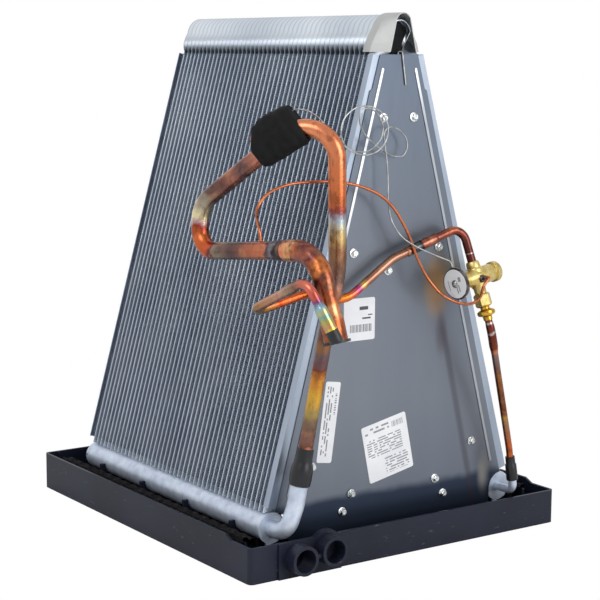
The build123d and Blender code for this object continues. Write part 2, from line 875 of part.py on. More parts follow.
# ------------------------------------------------------------ equalizer and capillary
fitting_reach = -15.0
with BuildPart() as equalizer_fitting:
    with BuildSketch(Plane(origin=in_valve(-2, fitting_reach, -3), z_dir=valve.y_dir)):
        Circle(3.6)
    extrude(until=Until.NEXT, target=valve_body.part)
write(equalizer_fitting, "equalizer_fitting")

equalizer_route = [
    in_valve(-2, fitting_reach - joint_gap, -3),
    in_valve(-2, fitting_reach - 7, -3),
    right(75, -266, 297),
    right(76.5, -262, 285),
    right(68.5, -256, 276.5),
    right(53.5, -248, 278.5),
    (36.5, -240, 288),
    (23, -232, 307),
    (8.5, -231, 331),
    (-0.5, -231, 352.5),
    (-12, -230, 372),
    (-24.5, -228, 390),
    (-41, -226, 402.5),
    left(-63.5, -224, 411.5),
    left(-93, -222, 418),
    left(-122.5, -216, 418),
    left(-149, -210, 416.5),
    left(-171, -204, 407.5),
    left(-184, -203, 392),
    left(-191, -215, 380.5),
]
tap_up = (Vector(0, 0, 1) - outlet_run * outlet_run.Z).normalized()
tap = loop_low + outlet_run * 104 + tap_up * (suction_od / 2 + joint_gap)
equalizer_route.append(tap + tap_up * 11)
equalizer_route.append(tap)
equalizer_tube = bent_tube(equalizer_route, largest_radii(equalizer_route), equalizer_od)
write(equalizer_tube, "equalizer_tube")

# The spare length of the capillary is coiled in front of the plate
coil_centre = (-62.0, 471.0)
coil_half_width = 32.0
coil_half_height = 27.0
coil_turn = [
    (
        coil_centre[0] + coil_half_width * math.cos(math.radians(215 - 34 * step)),
        -226 - 0.4 * step,
        coil_centre[1] + coil_half_height * math.sin(math.radians(215 - 34 * step)),
    )
    for step in range(11)
]
capillary_route = [
    in_valve(neck_reach - head_thickness / 2, 0, head_radius + joint_gap),
    in_valve(neck_reach - head_thickness / 2, 0, head_radius + 7),
    (24.5, -238, 334),
    (3.5, -235, 343.5),
    (-15, -233, 354.5),
    (-24, -226, 372),
    (-25.5, -221.5, 395),
    (-24, -220, 416),
    (-26, -220, 438),
    (-29, -220, 454),
    (-30.5, -219, 467),
    (-22.5, -218, 474.5),
    (-7.5, -217, 471),
    (3, -217, 461),
    (5, -217, 450),
    (-1.5, -217, 440.5),
    (-18, -217, 442),
    (-38, -218, 452.5),
    (-57.5, -220, 467),
    (-65, -221, 481),
    (-63.5, -222, 491.5),
    (-54, -222, 495.5),
    (-42, -222, 490),
    (-33.5, -222, 478.5),
    (-34, -223, 464.5),
    (-44, -224, 454),
    (-58, -225, 447.5),
    (-76, -225.5, 449),
]
capillary_route += coil_turn
capillary_route += capillary_tail
capillary_route.append(bulb_end - loop_slope * 7)
capillary_route.append(bulb_end)
capillary_tube = bent_tube(capillary_route, largest_radii(capillary_route), capillary_od)
write(capillary_tube, "capillary_tube")

# ------------------------------------------------------------ labels on the front plate
label_thickness = 0.3
label_face = Plane.XZ.offset(plate_face)
for name, spot, size, tilt in (
    ("number_label", (-50.6, 263.5), (42.5, 47), 0),
    ("notice_label", (-91, 153), (20, 90), -8),
    ("rating_label", (-9, 114), (63, 66.5), 11.8),
):
    with BuildPart() as label:
        with BuildSketch(label_face):
            with Locations(Location(spot, tilt)):
                RectangleRounded(size[0], size[1], 2.5)
        extrude(amount=label_thickness)
    write(label, name)
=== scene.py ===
import math

import bpy
from mathutils import Matrix, Vector, noise as lumps
from numpy import interp


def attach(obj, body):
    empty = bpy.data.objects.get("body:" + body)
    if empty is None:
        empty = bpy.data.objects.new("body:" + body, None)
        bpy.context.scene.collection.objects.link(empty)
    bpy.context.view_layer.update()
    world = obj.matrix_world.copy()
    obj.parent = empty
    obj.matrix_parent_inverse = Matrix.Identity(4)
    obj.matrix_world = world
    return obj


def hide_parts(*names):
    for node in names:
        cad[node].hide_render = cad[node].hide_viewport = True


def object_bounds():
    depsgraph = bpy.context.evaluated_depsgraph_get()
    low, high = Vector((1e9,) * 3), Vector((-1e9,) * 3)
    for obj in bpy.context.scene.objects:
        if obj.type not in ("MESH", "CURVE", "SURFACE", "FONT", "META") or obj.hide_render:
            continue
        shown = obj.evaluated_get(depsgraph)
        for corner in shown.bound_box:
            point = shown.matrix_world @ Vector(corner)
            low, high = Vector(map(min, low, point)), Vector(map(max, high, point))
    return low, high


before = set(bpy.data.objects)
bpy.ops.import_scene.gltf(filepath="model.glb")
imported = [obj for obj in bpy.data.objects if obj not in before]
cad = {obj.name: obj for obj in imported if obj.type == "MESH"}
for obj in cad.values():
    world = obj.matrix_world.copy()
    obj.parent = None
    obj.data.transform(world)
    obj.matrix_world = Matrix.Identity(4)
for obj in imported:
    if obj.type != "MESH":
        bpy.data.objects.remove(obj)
size_at_load = [list(corner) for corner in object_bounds()]

# ---------------------------------------------------------------- drain pan
# The tray that catches the water off the coil: one piece of black moulded plastic with a fine grain and
# pale scuffs from handling. It lies flat on the floor, and the headers rest in its cradles.
def tone(*levels):
    """Linear colour from everyday 0 to 255 levels."""
    return tuple(((level / 255 + 0.055) / 1.055) ** 2.4 for level in levels)


def material(name, color, metallic=0.0, rough=0.5):
    """A plain principled material; its nodes are added to afterwards."""
    mat = bpy.data.materials.new(name)
    mat.use_nodes = True
    shader = mat.node_tree.nodes["Principled BSDF"]
    shader.inputs["Base Color"].default_value = (*color, 1.0)
    shader.inputs["Metallic"].default_value = metallic
    shader.inputs["Roughness"].default_value = rough
    return mat


def shader_of(mat):
    """The principled shader of a material."""
    return mat.node_tree.nodes["Principled BSDF"]


def dress(finish, *nodes):
    """Give CAD nodes their finish."""
    for node in nodes:
        cad[node].data.materials.clear()
        cad[node].data.materials.append(finish)


def paint(mat, socket, name="Base Color"):
    """Lead a socket into the shader, as its colour or another input."""
    mat.node_tree.links.new(socket, shader_of(mat).inputs[name])


def feed(mat, value, target):
    """Give a socket a number, a colour or another socket."""
    if isinstance(value, bpy.types.NodeSocket):
        mat.node_tree.links.new(value, target)
    elif isinstance(value, tuple):
        target.default_value = (*value, 1.0)
    else:
        target.default_value = value


def calc(mat, operation, first, second=0.0, third=0.0):
    node = mat.node_tree.nodes.new("ShaderNodeMath")
    node.operation = operation
    for value, target in zip((first, second, third), node.inputs):
        feed(mat, value, target)
    return node.outputs["Value"]


def product(mat, first, *others):
    """Numbers and sockets multiplied together."""
    for other in others:
        first = calc(mat, "MULTIPLY", first, other)
    return first


def rest_of(mat, share):
    """What a share leaves of one."""
    return calc(mat, "SUBTRACT", 1.0, share)


def blend_of(mat, share, first, second):
    """First colour where the share is 0, second where it is 1."""
    node = mat.node_tree.nodes.new("ShaderNodeMix")
    node.data_type = "RGBA"
    feed(mat, share, node.inputs["Factor"])
    feed(mat, first, node.inputs["A"])
    feed(mat, second, node.inputs["B"])
    return next(socket for socket in node.outputs if socket.type == "RGBA")


def place(mat, kind="Object"):
    """X, Y and Z sockets of a coordinate."""
    where = mat.node_tree.nodes.new("ShaderNodeTexCoord")
    split = mat.node_tree.nodes.new("ShaderNodeSeparateXYZ")
    mat.node_tree.links.new(where.outputs[kind], split.inputs["Vector"])
    return split.outputs["X"], split.outputs["Y"], split.outputs["Z"]


def noise(mat, scale, detail=4.0, stretch=(1, 1, 1), kind="Object"):
    """Noise in row or UV coordinates, stretched along the axes."""
    where = mat.node_tree.nodes.new("ShaderNodeTexCoord")
    mapping = mat.node_tree.nodes.new("ShaderNodeMapping")
    mapping.inputs["Scale"].default_value = stretch
    texture = mat.node_tree.nodes.new("ShaderNodeTexNoise")
    texture.inputs["Scale"].default_value = scale
    texture.inputs["Detail"].default_value = detail
    mat.node_tree.links.new(where.outputs[kind], mapping.inputs["Vector"])
    mat.node_tree.links.new(mapping.outputs["Vector"], texture.inputs["Vector"])
    return texture.outputs["Fac"]


def ramp(mat, value, stops):
    """Colour ramp from (position, colour) stops."""
    node = mat.node_tree.nodes.new("ShaderNodeValToRGB")
    band = node.color_ramp
    while len(band.elements) < len(stops):
        band.elements.new(0.5)
    for element, (position, color) in zip(band.elements, stops):
        element.position = position
        element.color = (*color, 1.0)
    feed(mat, value, node.inputs["Fac"])
    return node.outputs["Color"]


def step_of(mat, value, low, high):
    """0 below low, 1 above high, smooth between."""
    node = mat.node_tree.nodes.new("ShaderNodeMapRange")
    node.interpolation_type = "SMOOTHSTEP"
    feed(mat, value, node.inputs["Value"])
    node.inputs["From Min"].default_value = low
    node.inputs["From Max"].default_value = high
    return node.outputs["Result"]


def bump(mat, value, distance, strength=1.0):
    node = mat.node_tree.nodes.new("ShaderNodeBump")
    node.inputs["Distance"].default_value = distance
    node.inputs["Strength"].default_value = strength
    feed(mat, value, node.inputs["Height"])
    paint(mat, node.outputs["Normal"], "Normal")


def mottled(mat, scale, low, high, detail=5.0, stretch=(1, 1, 1)):
    """Base colour that wanders between two tones."""
    paint(mat, ramp(mat, noise(mat, scale, detail, stretch), [(0.32, low), (0.68, high)]))


SCUFFS = 0.35

pan_plastic = material("pan_plastic", tone(24, 27, 42), 0.0, 0.42)
shader_of(pan_plastic).inputs["Specular IOR Level"].default_value = 0.3
pan_base = ramp(pan_plastic, noise(pan_plastic, 12, 6), [(0.3, tone(17, 20, 34)), (0.7, tone(27, 31, 48))])
scuff = step_of(pan_plastic, noise(pan_plastic, 90, 6, (1, 1, 4)), 0.66, 0.74)
paint(pan_plastic, blend_of(pan_plastic, product(pan_plastic, scuff, SCUFFS), pan_base, tone(112, 112, 120)))
bump(pan_plastic, noise(pan_plastic, 900, 2), 0.00015, 0.6)
dress(pan_plastic, "drain_pan")

# ---------------------------------------------------------------- headers
# Two aluminium tubes along the pan, closed by a cap at each end, with a short stub on each that a line is
# brazed to. They are dull from the furnace, with a smear of green paint at their ends.
HEADER_X = 0.1617
HEADER_Z = 0.044
FRONT_SMEAR = (-0.2245, 0.0365)
BACK_SMEAR = (0.196, 0.047)


def patch(mat, across, upright, centre, half, soft=0.5):
    """1 inside an ellipse on a plane, fading to 0 at its rim."""
    u = calc(mat, "DIVIDE", calc(mat, "SUBTRACT", across, centre[0]), half[0])
    v = calc(mat, "DIVIDE", calc(mat, "SUBTRACT", upright, centre[1]), half[1])
    squares = calc(mat, "ADD", calc(mat, "MULTIPLY", u, u), calc(mat, "MULTIPLY", v, v))
    return rest_of(mat, step_of(mat, calc(mat, "SQRT", squares), soft, 1.0))


header_metal = material("header_metal", tone(205, 214, 228), 0.6, 0.44)
header_base = ramp(header_metal, noise(header_metal, 90, 7), [
    (0.30, tone(182, 193, 211)), (0.50, tone(200, 210, 226)), (0.75, tone(218, 226, 237)),
])
header_y, header_z = place(header_metal)[1:]
front_smear = patch(header_metal, header_y, header_z, FRONT_SMEAR, (0.006, 0.0035), 0.2)
back_smear = patch(header_metal, header_y, header_z, BACK_SMEAR, (0.006, 0.004), 0.2)
smear = calc(header_metal, "MAXIMUM", front_smear, back_smear)
smear = product(header_metal, smear, step_of(header_metal, noise(header_metal, 260, 3), 0.48, 0.55))
paint(header_metal, blend_of(header_metal, smear, header_base, tone(20, 110, 88)))
bump(header_metal, noise(header_metal, 700, 3), 0.0002, 0.6)
for side in ("left", "right"):
    dress(header_metal, f"{side}_header", f"{side}_header_front_cap", f"{side}_header_back_cap")
dress(header_metal, "suction_stub", "drop_stub")

# ---------------------------------------------------------------- flat tubes
# Extruded aluminium tubes, each one piece from header to header: up one slab, a twist, a bend over the top
# and down the other slab. The twisted bends lie over each other like shingles and make the bright dome.
TUBES = 44
PITCH = 0.00908
TUBE_W = 0.0254
TUBE_T = 0.0013
TUBE_ROOT = 0.0145
FIN_TOP = 0.525
CORE_TOP_HALF = 0.0203
LEAN = math.asin((HEADER_X - CORE_TOP_HALF) / FIN_TOP)
BEND_R = 0.017
BEND_Z = HEADER_Z + FIN_TOP * math.cos(LEAN) + 0.0244
TWIST = math.radians(-76)
LEG_STEPS = 14
BEND_STEPS = 18
EDGE_STEPS = 4
# How dark the painted shade between the shingles is
SHINGLE_SHADE = 0.45
TWIST_SHADE = 0.85

tube_metal = material("tube_metal", tone(206, 213, 221), 1.0, 0.36)
tube_y, tube_z = place(tube_metal)[1:]
tube_base = ramp(tube_metal, noise(tube_metal, 9, 5), [
    (0.32, tone(200, 208, 217)), (0.68, tone(226, 232, 238)),
])
# Painted shade between each two shingles, on the bend only: each tube darkens towards the edge of the next
shingle_shade = calc(tube_metal, "FRACT", calc(tube_metal, "DIVIDE", calc(tube_metal, "ADD", tube_y, 1.0), PITCH))
shingle_shade = step_of(tube_metal, shingle_shade, 0.55, 1.0)
shingle_shade = product(tube_metal, shingle_shade, step_of(tube_metal, tube_z, 0.555, 0.566), SHINGLE_SHADE)
tube_base = blend_of(tube_metal, shingle_shade, tube_base, tone(132, 142, 156))
# The legs stand in each other's shade where they twist
twist_foot = step_of(tube_metal, tube_z, 0.547, 0.553)
twist_head = rest_of(tube_metal, step_of(tube_metal, tube_z, 0.560, 0.576))
twist_shade = product(tube_metal, twist_foot, twist_head, TWIST_SHADE)
paint(tube_metal, blend_of(tube_metal, twist_shade, tube_base, tone(124, 132, 142)))
bump(tube_metal, noise(tube_metal, 400, 2), 0.0001, 0.5)
dress(tube_metal, "flat_tubes")


def slab_point(side, distance):
    """Point in the middle of a slab, at a distance up it from the header's axis."""
    return Vector((side * (HEADER_X - distance * math.sin(LEAN)), 0, HEADER_Z + distance * math.cos(LEAN)))


def tube_frame(centre, outward, twist):
    """Centre, width direction and thickness direction of a tube that has twisted by an angle."""
    wide = outward * math.cos(twist) + Vector((0, -1, 0)) * math.sin(twist)
    thin = Vector((0, 1, 0)) * math.cos(twist) + outward * math.sin(twist)
    return centre, wide, thin


def new_mesh(name, verts, faces):
    """An object with a mesh of its own, from points and faces in row coordinates."""
    mesh = bpy.data.meshes.new(name)
    mesh.from_pydata([tuple(v) for v in verts], [], faces)
    piece = bpy.data.objects.new(name, mesh)
    bpy.context.scene.collection.objects.link(piece)
    return piece


def select_only(piece):
    """Select one object, deselect the others, and make it the active one."""
    bpy.ops.object.select_all(action="DESELECT")
    piece.select_set(True)
    bpy.context.view_layer.objects.active = piece


def repeated(piece, count, pitch):
    """Repeat a piece along Y with an array, and make the copies real."""
    select_only(piece)
    array = piece.modifiers.new("rows", "ARRAY")
    array.count = count
    array.use_relative_offset = False
    array.use_constant_offset = True
    array.constant_offset_displace = (0, pitch, 0)
    bpy.ops.object.modifier_apply(modifier=array.name)


def settled(piece, finish, smooth=True):
    """The last steps of every new piece: its finish, its shading, and its place on the coil."""
    piece.data.materials.append(finish)
    if smooth:
        piece.data.shade_smooth()
        piece.data.set_sharp_from_angle(angle=math.radians(40))
    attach(piece, "root")
    return piece


# Half a tube, from the left header to the top of the bend, and its mirror image down the right slab
foot = slab_point(-1, FIN_TOP)
centre_gap = math.hypot(foot.x, BEND_Z - foot.z)
leg_lean = math.atan2(-foot.x, BEND_Z - foot.z) - math.asin(BEND_R / centre_gap)
crown = Vector((-BEND_R * math.cos(leg_lean), 0, BEND_Z + BEND_R * math.sin(leg_lean)))
half_frames = []
for distance in (TUBE_ROOT, FIN_TOP):
    outward = Vector((-math.cos(LEAN), 0, math.sin(LEAN)))
    half_frames.append(tube_frame(slab_point(-1, distance), outward, 0.0))
for step in range(1, LEG_STEPS + 1):
    share = step / LEG_STEPS
    tilt = LEAN + (leg_lean - LEAN) * min(1.0, 2 * share)
    outward = Vector((-math.cos(tilt), 0, math.sin(tilt)))
    half_frames.append(tube_frame(foot.lerp(crown, share), outward, TWIST * share))
for step in range(1, BEND_STEPS + 1):
    angle = math.pi - leg_lean - (math.pi / 2 - leg_lean) * step / BEND_STEPS
    outward = Vector((math.cos(angle), 0, math.sin(angle)))
    half_frames.append(tube_frame(Vector((0, 0, BEND_Z)) + outward * BEND_R, outward, TWIST))
mirror = Matrix.Scale(-1, 3, Vector((1, 0, 0)))
other_frames = [(mirror @ c, mirror @ w, mirror @ t) for c, w, t in reversed(half_frames[:-1])]

edge = TUBE_T / 2
section = []
for along, around in ((1, 0), (-1, math.pi)):
    for step in range(EDGE_STEPS + 1):
        turn = around - math.pi / 2 + math.pi * step / EDGE_STEPS
        section.append((along * (TUBE_W / 2 - edge) + edge * math.cos(turn), edge * math.sin(turn)))
ring = len(section)
first_row = Vector((0, -(TUBES - 1) / 2 * PITCH, 0))
verts = []
faces = []
for centre, wide, thin in half_frames + other_frames:
    verts.extend(centre + first_row + wide * a + thin * b for a, b in section)
for base in range(0, len(verts) - ring, ring):
    for i in range(ring):
        j = (i + 1) % ring
        faces.append((base + i, base + ring + i, base + ring + j, base + j))
tubes = new_mesh("smooth_tubes", verts, faces)
repeated(tubes, TUBES, PITCH)
settled(tubes, tube_metal)
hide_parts("flat_tubes")

# ---------------------------------------------------------------- fins
# Strips of thin aluminium, folded to and fro and brazed between the flat tubes, with one more strip on the
# outer side of the first and last tube. Air passes through the folds.
FIN_START = 0.021
FOLD = 0.0013
FIN_DEPTH_HALF = 0.012
FIN_LAP = 0.0001

fin_metal = material("fin_metal", tone(170, 182, 200), 0.55, 0.42)
mottled(fin_metal, 14, tone(206, 216, 231), tone(228, 235, 244))
dress(fin_metal, "left_fin_pack", "right_fin_pack")

fin_half = (PITCH - TUBE_T) / 2 + FIN_LAP
fold_count = int((FIN_TOP - FIN_START) / FOLD)
for side, label in ((-1, "left"), (1, "right")):
    outward = Vector((side * math.cos(LEAN), 0, math.sin(LEAN)))
    verts = []
    for k in range(fold_count + 1):
        ridge = slab_point(side, FIN_START + k * FOLD)
        ridge.y = -TUBES / 2 * PITCH + fin_half * (1 if k % 2 else -1)
        verts.extend((ridge + outward * FIN_DEPTH_HALF, ridge - outward * FIN_DEPTH_HALF))
    faces = [(2 * k, 2 * k + 1, 2 * k + 3, 2 * k + 2) for k in range(fold_count)]
    fins = new_mesh(f"{label}_fins", verts, faces)
    repeated(fins, TUBES + 1, PITCH)
    settled(fins, fin_metal, smooth=False)
    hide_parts(f"{label}_fin_pack")

# ---------------------------------------------------------------- side channels, band and hook wire
# Bent sheet channels close the front and the back edge of each slab. A pale band goes over the first
# tubes, from slab to slab, and a bent wire is hooked over the top of the front plate.
channel_metal = material("channel_metal", tone(160, 170, 184), 1.0, 0.36)
mottled(channel_metal, 30, tone(150, 161, 177), tone(174, 184, 197), stretch=(1, 1, 0.1))
for side in ("left", "right"):
    dress(channel_metal, f"{side}_front_channel", f"{side}_back_channel")

band_metal = material("band_metal", tone(218, 220, 219), 0.45, 0.5)
mottled(band_metal, 20, tone(164, 166, 166), tone(186, 187, 185))
dress(band_metal, "front_band")

wire_metal = material("wire_metal", tone(172, 174, 172), 1.0, 0.3)
mottled(wire_metal, 120, tone(140, 142, 142), tone(196, 196, 192))
dress(wire_metal, "hook_wire")

# ---------------------------------------------------------------- end plates
# Folded galvanised sheets that close the A at the front and the back. A painted reflection of the dark pan
# runs along their foot. The front one has a flux stain and a run below it, and painted highlights on the
# beads of its face.
PLATE_FACE = -0.20607
BEAD_PROUD = 0.0004
PLATE_TALL = 0.6
BRUSHING = 0.55
RIGHT_BEAD_RISE = 0.14

plate_metal = material("plate_metal", tone(128, 136, 148), 0.85, 0.38)
plate_x, plate_y, plate_z = place(plate_metal)
plate_tall = ramp(plate_metal, calc(plate_metal, "DIVIDE", plate_z, PLATE_TALL), [
    (0.05, tone(116, 122, 132)), (0.28, tone(126, 131, 139)),
    (0.62, tone(112, 118, 127)), (0.95, tone(98, 109, 124)),
])
brushing = product(plate_metal, noise(plate_metal, 16, 5, (1, 0.1, 0.06)), BRUSHING)
plate_base = blend_of(plate_metal, brushing, plate_tall, tone(98, 106, 120))

# A painted reflection of the dark pan along the foot, with a wavering edge, and one painted highlight beside
# the right rim
waver = product(plate_metal, noise(plate_metal, 22, 2), 0.012)
foot_height = calc(plate_metal, "SUBTRACT", plate_z, waver)
pan_reflection = rest_of(plate_metal, step_of(plate_metal, foot_height, 0.055, 0.066))
plate_base = blend_of(plate_metal, pan_reflection, plate_base, tone(50, 60, 78))
right_rim_highlight = patch(plate_metal, plate_x, plate_z, (0.134, 0.066), (0.012, 0.034), 0.05)
plate_base = blend_of(plate_metal, product(plate_metal, right_rim_highlight, 0.7), plate_base, tone(176, 172, 166))

# A dark run of flux down the lower right of the front plate
front_side = calc(plate_metal, "LESS_THAN", plate_y, 0.0)
run_line = calc(plate_metal, "SUBTRACT", 0.127, product(plate_metal, plate_z, 0.24))
run_off = calc(plate_metal, "ABSOLUTE", calc(plate_metal, "SUBTRACT", plate_x, run_line))
flux_run = rest_of(plate_metal, step_of(plate_metal, run_off, 0.001, 0.007))
run_top = rest_of(plate_metal, step_of(plate_metal, plate_z, 0.22, 0.29))
flux_run = product(plate_metal, flux_run, front_side, 0.45, run_top)
plate_base = blend_of(plate_metal, flux_run, plate_base, tone(66, 58, 66))

# The stain itself: yellow above, dark below
stain_edge = calc(plate_metal, "ADD", noise(plate_metal, 30, 4), 0.25)
stain = patch(plate_metal, plate_x, plate_z, (0.058, 0.292), (0.024, 0.046), 0.1)
stain = product(plate_metal, stain, stain_edge, front_side)
plate_base = blend_of(plate_metal, stain, plate_base, tone(176, 132, 72))
stain_dark = patch(plate_metal, plate_x, plate_z, (0.066, 0.236), (0.012, 0.034), 0.1)
stain_dark = product(plate_metal, stain_dark, 0.55, front_side)
plate_base = blend_of(plate_metal, stain_dark, plate_base, tone(84, 76, 84))

# The beads stand proud of the face and carry a painted highlight, stronger from a height on, which is lower
# on the left
bead = calc(plate_metal, "LESS_THAN", plate_y, PLATE_FACE - BEAD_PROUD)
right_half = rest_of(plate_metal, calc(plate_metal, "LESS_THAN", plate_x, 0.0))
bead_reach = calc(plate_metal, "SUBTRACT", plate_z, product(plate_metal, right_half, RIGHT_BEAD_RISE))
bead_highlight = product(plate_metal, step_of(plate_metal, bead_reach, 0.33, 0.40), 0.55)
bead_highlight = calc(plate_metal, "ADD", bead_highlight, 0.3)
bead_highlight = product(plate_metal, bead, bead_highlight)
paint(plate_metal, blend_of(plate_metal, bead_highlight, plate_base, tone(246, 248, 250)))
bump(plate_metal, noise(plate_metal, 60, 3, (1, 1, 0.3)), 0.0006, 0.35)
dress(plate_metal, "front_plate", "back_plate")

# ---------------------------------------------------------------- screws
# Plated hex screws with a washer under a hollow head hold the plates to the channels. Each sits a little
# askew. The last of the front plate's screws has no fellow at the back.
SCREW_FACE = 206.2
SCREW_TILT = 0.08
SCREW_PLACES = [(21.0, 483.0), (59.5, 337.0), (113.5, 106.0), (60.0, 68.5), (72.0, 49.4)]
SCREW_PLACES += [(-x, z) for x, z in SCREW_PLACES] + [(-12.0, 315.0)]
WASHER = [(0, 5.3), (0.9, 5.1), (1.3, 3.7)]
HEX_HEAD = [(1.0, 3.8), (3.9, 3.8), (4.8, 3.1), (4.8, 1.6), (4.1, 1.4)]

screw_metal = material("screw_metal", tone(222, 226, 226), 1.0, 0.24)
mottled(screw_metal, 300, tone(196, 202, 204), tone(236, 238, 236))
dress(screw_metal, "front_screws", "back_screws")


def spot(x, y, z):
    """Point in metres from millimetres."""
    return Vector((x, y, z)) / 1000


def turned(name, origin, axis, outline, finish, sides=32, smooth=True, spin=None):
    """A turned piece: a disc is extruded and resized from point to point of its outline.

    The outline is (distance along the axis, radius) pairs in millimetres, and spin is where the first corner
    points. The piece's UV map is its end view."""
    axis = axis.normalized()
    corner = (spin - axis * spin.dot(axis)).normalized() if spin else axis.orthogonal().normalized()
    bpy.ops.object.select_all(action="DESELECT")
    bpy.ops.mesh.primitive_circle_add(
        vertices=sides, radius=outline[0][1] / 1000, fill_type="NGON", calc_uvs=False, location=(0, 0, 0),
    )
    piece = bpy.context.object
    piece.name = piece.data.name = name
    bpy.ops.object.mode_set(mode="EDIT")
    bpy.ops.mesh.select_all(action="SELECT")
    for (low, narrow), (high, wide) in zip(outline, outline[1:]):
        bpy.ops.mesh.extrude_region_move(TRANSFORM_OT_translate={"value": (0, 0, (high - low) / 1000)})
        bpy.ops.transform.resize(value=(wide / narrow, wide / narrow, 1), center_override=(0, 0, 0))
    bpy.ops.mesh.select_all(action="SELECT")
    bpy.ops.mesh.normals_make_consistent(inside=False)
    bpy.ops.object.mode_set(mode="OBJECT")
    layer = piece.data.uv_layers.new(name="UVMap")
    breadth = 2 * max(radius for distance, radius in outline) / 1000
    for loop in piece.data.loops:
        point = piece.data.vertices[loop.vertex_index].co
        layer.data[loop.index].uv = (0.5 + point.y / breadth, 0.5 - point.x / breadth)
    pose = Matrix((corner.cross(axis), corner, axis)).transposed().to_4x4()
    piece.matrix_world = Matrix.Translation(origin + axis * outline[0][0] / 1000) @ pose
    bpy.ops.object.transform_apply(location=True, rotation=True, scale=True)
    return settled(piece, finish, smooth)


for number, (x, z) in enumerate(SCREW_PLACES):
    for end, label in ((-1, "front"), (1, "back")):
        if end == 1 and number == len(SCREW_PLACES) - 1:
            continue
        base = spot(x, end * SCREW_FACE, z)
        askew = Vector((SCREW_TILT * math.sin(number), end, SCREW_TILT * math.cos(2 * number)))
        corner = Vector((math.cos(number), 0, math.sin(number)))
        turned(f"{label}_washer_{number}", base, askew, WASHER, screw_metal, 24)
        turned(f"{label}_head_{number}", base, askew, HEX_HEAD, screw_metal, 6, False, corner)

# ---------------------------------------------------------------- foam block and foam strips
# Black foam keeps air from passing round the core: a block under the bend, and a rough strip between each
# header and the wall of the pan, cut by hand and pressed in.
STRIP_INNER = 181.0
STRIP_WIDTH = 22.5
STRIP_FRONT = -205.0
STRIP_LENGTH = 425.0
STRIP_FOOT = 26.0
STRIP_TOP = 40.0
STRIP_EDGE_FALL = 6.0
ACROSS_STEPS = 10
ALONG_STEPS = 150

wrap_foam = material("wrap_foam", tone(5, 5, 6), 0.0, 0.75)
shader_of(wrap_foam).inputs["Specular IOR Level"].default_value = 0.25
mottled(wrap_foam, 160, tone(2, 2, 3), tone(14, 15, 17), 7)
bump(wrap_foam, noise(wrap_foam, 900, 4), 0.0004, 0.9)
dress(wrap_foam, "foam_block")

strip_foam = material("strip_foam", tone(14, 14, 17), 0.0, 0.95)
shader_of(strip_foam).inputs["Specular IOR Level"].default_value = 0.2
mottled(strip_foam, 160, tone(4, 4, 6), tone(34, 32, 34), 7)
bump(strip_foam, noise(strip_foam, 260, 8), 0.0022, 1.0)


def strip_top(y, i):
    """Height of the foam over a place along the strip and a step across it, in millimetres."""
    ragged = 0.9 * math.sin(0.31 * y + i) + 0.8 * math.sin(0.83 * y + 2.1 * i) + 0.6 * math.sin(1.7 * y - i)
    return STRIP_TOP - STRIP_EDGE_FALL * (1 - i / ACROSS_STEPS) ** 3 + ragged


for side, label in ((-1, "left"), (1, "right")):
    verts = []
    faces = []
    for k in range(ALONG_STEPS + 1):
        y = STRIP_FRONT + STRIP_LENGTH * k / ALONG_STEPS
        for i in range(ACROSS_STEPS + 1):
            x = STRIP_INNER + STRIP_WIDTH * i / ACROSS_STEPS
            verts.append(spot(side * x, y, STRIP_FOOT if i in (0, ACROSS_STEPS) else strip_top(y, i)))
    wide = ACROSS_STEPS + 1
    for k in range(ALONG_STEPS):
        for i in range(ACROSS_STEPS):
            a = k * wide + i
            upwards = (a, a + 1, a + wide + 1, a + wide)
            faces.append(upwards if side > 0 else (a, a + wide, a + wide + 1, a + 1))
    settled(new_mesh(f"{label}_foam_strip", verts, faces), strip_foam)

# ---------------------------------------------------------------- suction line
# The wide copper line that carries the gas away: a riser off the left header, a loop over the front, and
# the outlet with a plastic plug. The torch has left bands of colour at each brazed joint.
CLOUD_SCALE = 95
WORN_BRIGHT = 0.22


def heated(name, length, stops, wander=0.03, dark=0.4, rough=0.25):
    """Copper whose tint changes along the tube: stops are (distance in millimetres, colour)."""
    mat = material(name, tone(200, 120, 80), 1.0, rough)
    along = place(mat, "UV")[0]
    cloud = noise(mat, CLOUD_SCALE, 6)
    shift = product(mat, calc(mat, "SUBTRACT", cloud, 0.5), wander / length)
    shares = [(at / 1000 / length, tone(*color)) for at, color in stops]
    tint = ramp(mat, calc(mat, "ADD", along, shift), shares)
    soot = step_of(mat, noise(mat, 120, 6, (1, 1, 0.55)), 0.52, 0.66)
    tint = blend_of(mat, product(mat, soot, dark), tint, tone(64, 42, 40))
    bright = step_of(mat, noise(mat, 55, 3), 0.55, 0.75)
    paint(mat, blend_of(mat, product(mat, bright, WORN_BRIGHT), tint, tone(240, 176, 128)))
    worn = calc(mat, "ADD", product(mat, cloud, 0.22), rough - 0.08)
    paint(mat, worn, "Roughness")
    bump(mat, noise(mat, 240, 4), 0.0003, 0.5)
    return mat


def rounded_route(corners, radii, stride=0.003):
    """Stations along straight runs joined by arcs."""
    stations = [corners[0]]

    def run_to(end):
        start = stations[-1]
        count = max(1, round((end - start).length / stride))
        stations.extend(start.lerp(end, step / count) for step in range(1, count + 1))

    for before, corner, after, radius in zip(corners, corners[1:], corners[2:], radii):
        back = (before - corner).normalized()
        ahead = (after - corner).normalized()
        half = back.angle(ahead) / 2
        centre = corner + (back + ahead).normalized() * radius / math.sin(half)
        first = (corner + back * radius / math.tan(half) - centre).normalized()
        last = (corner + ahead * radius / math.tan(half) - centre).normalized()
        run_to(centre + first * radius)
        count = max(4, round(first.angle(last) * radius / stride))
        stations.extend(centre + first.slerp(last, step / count) * radius for step in range(1, count + 1))
    run_to(corners[-1])
    return stations


def length_of(stations):
    """Length of a route in metres."""
    return sum((b - a).length for a, b in zip(stations, stations[1:]))


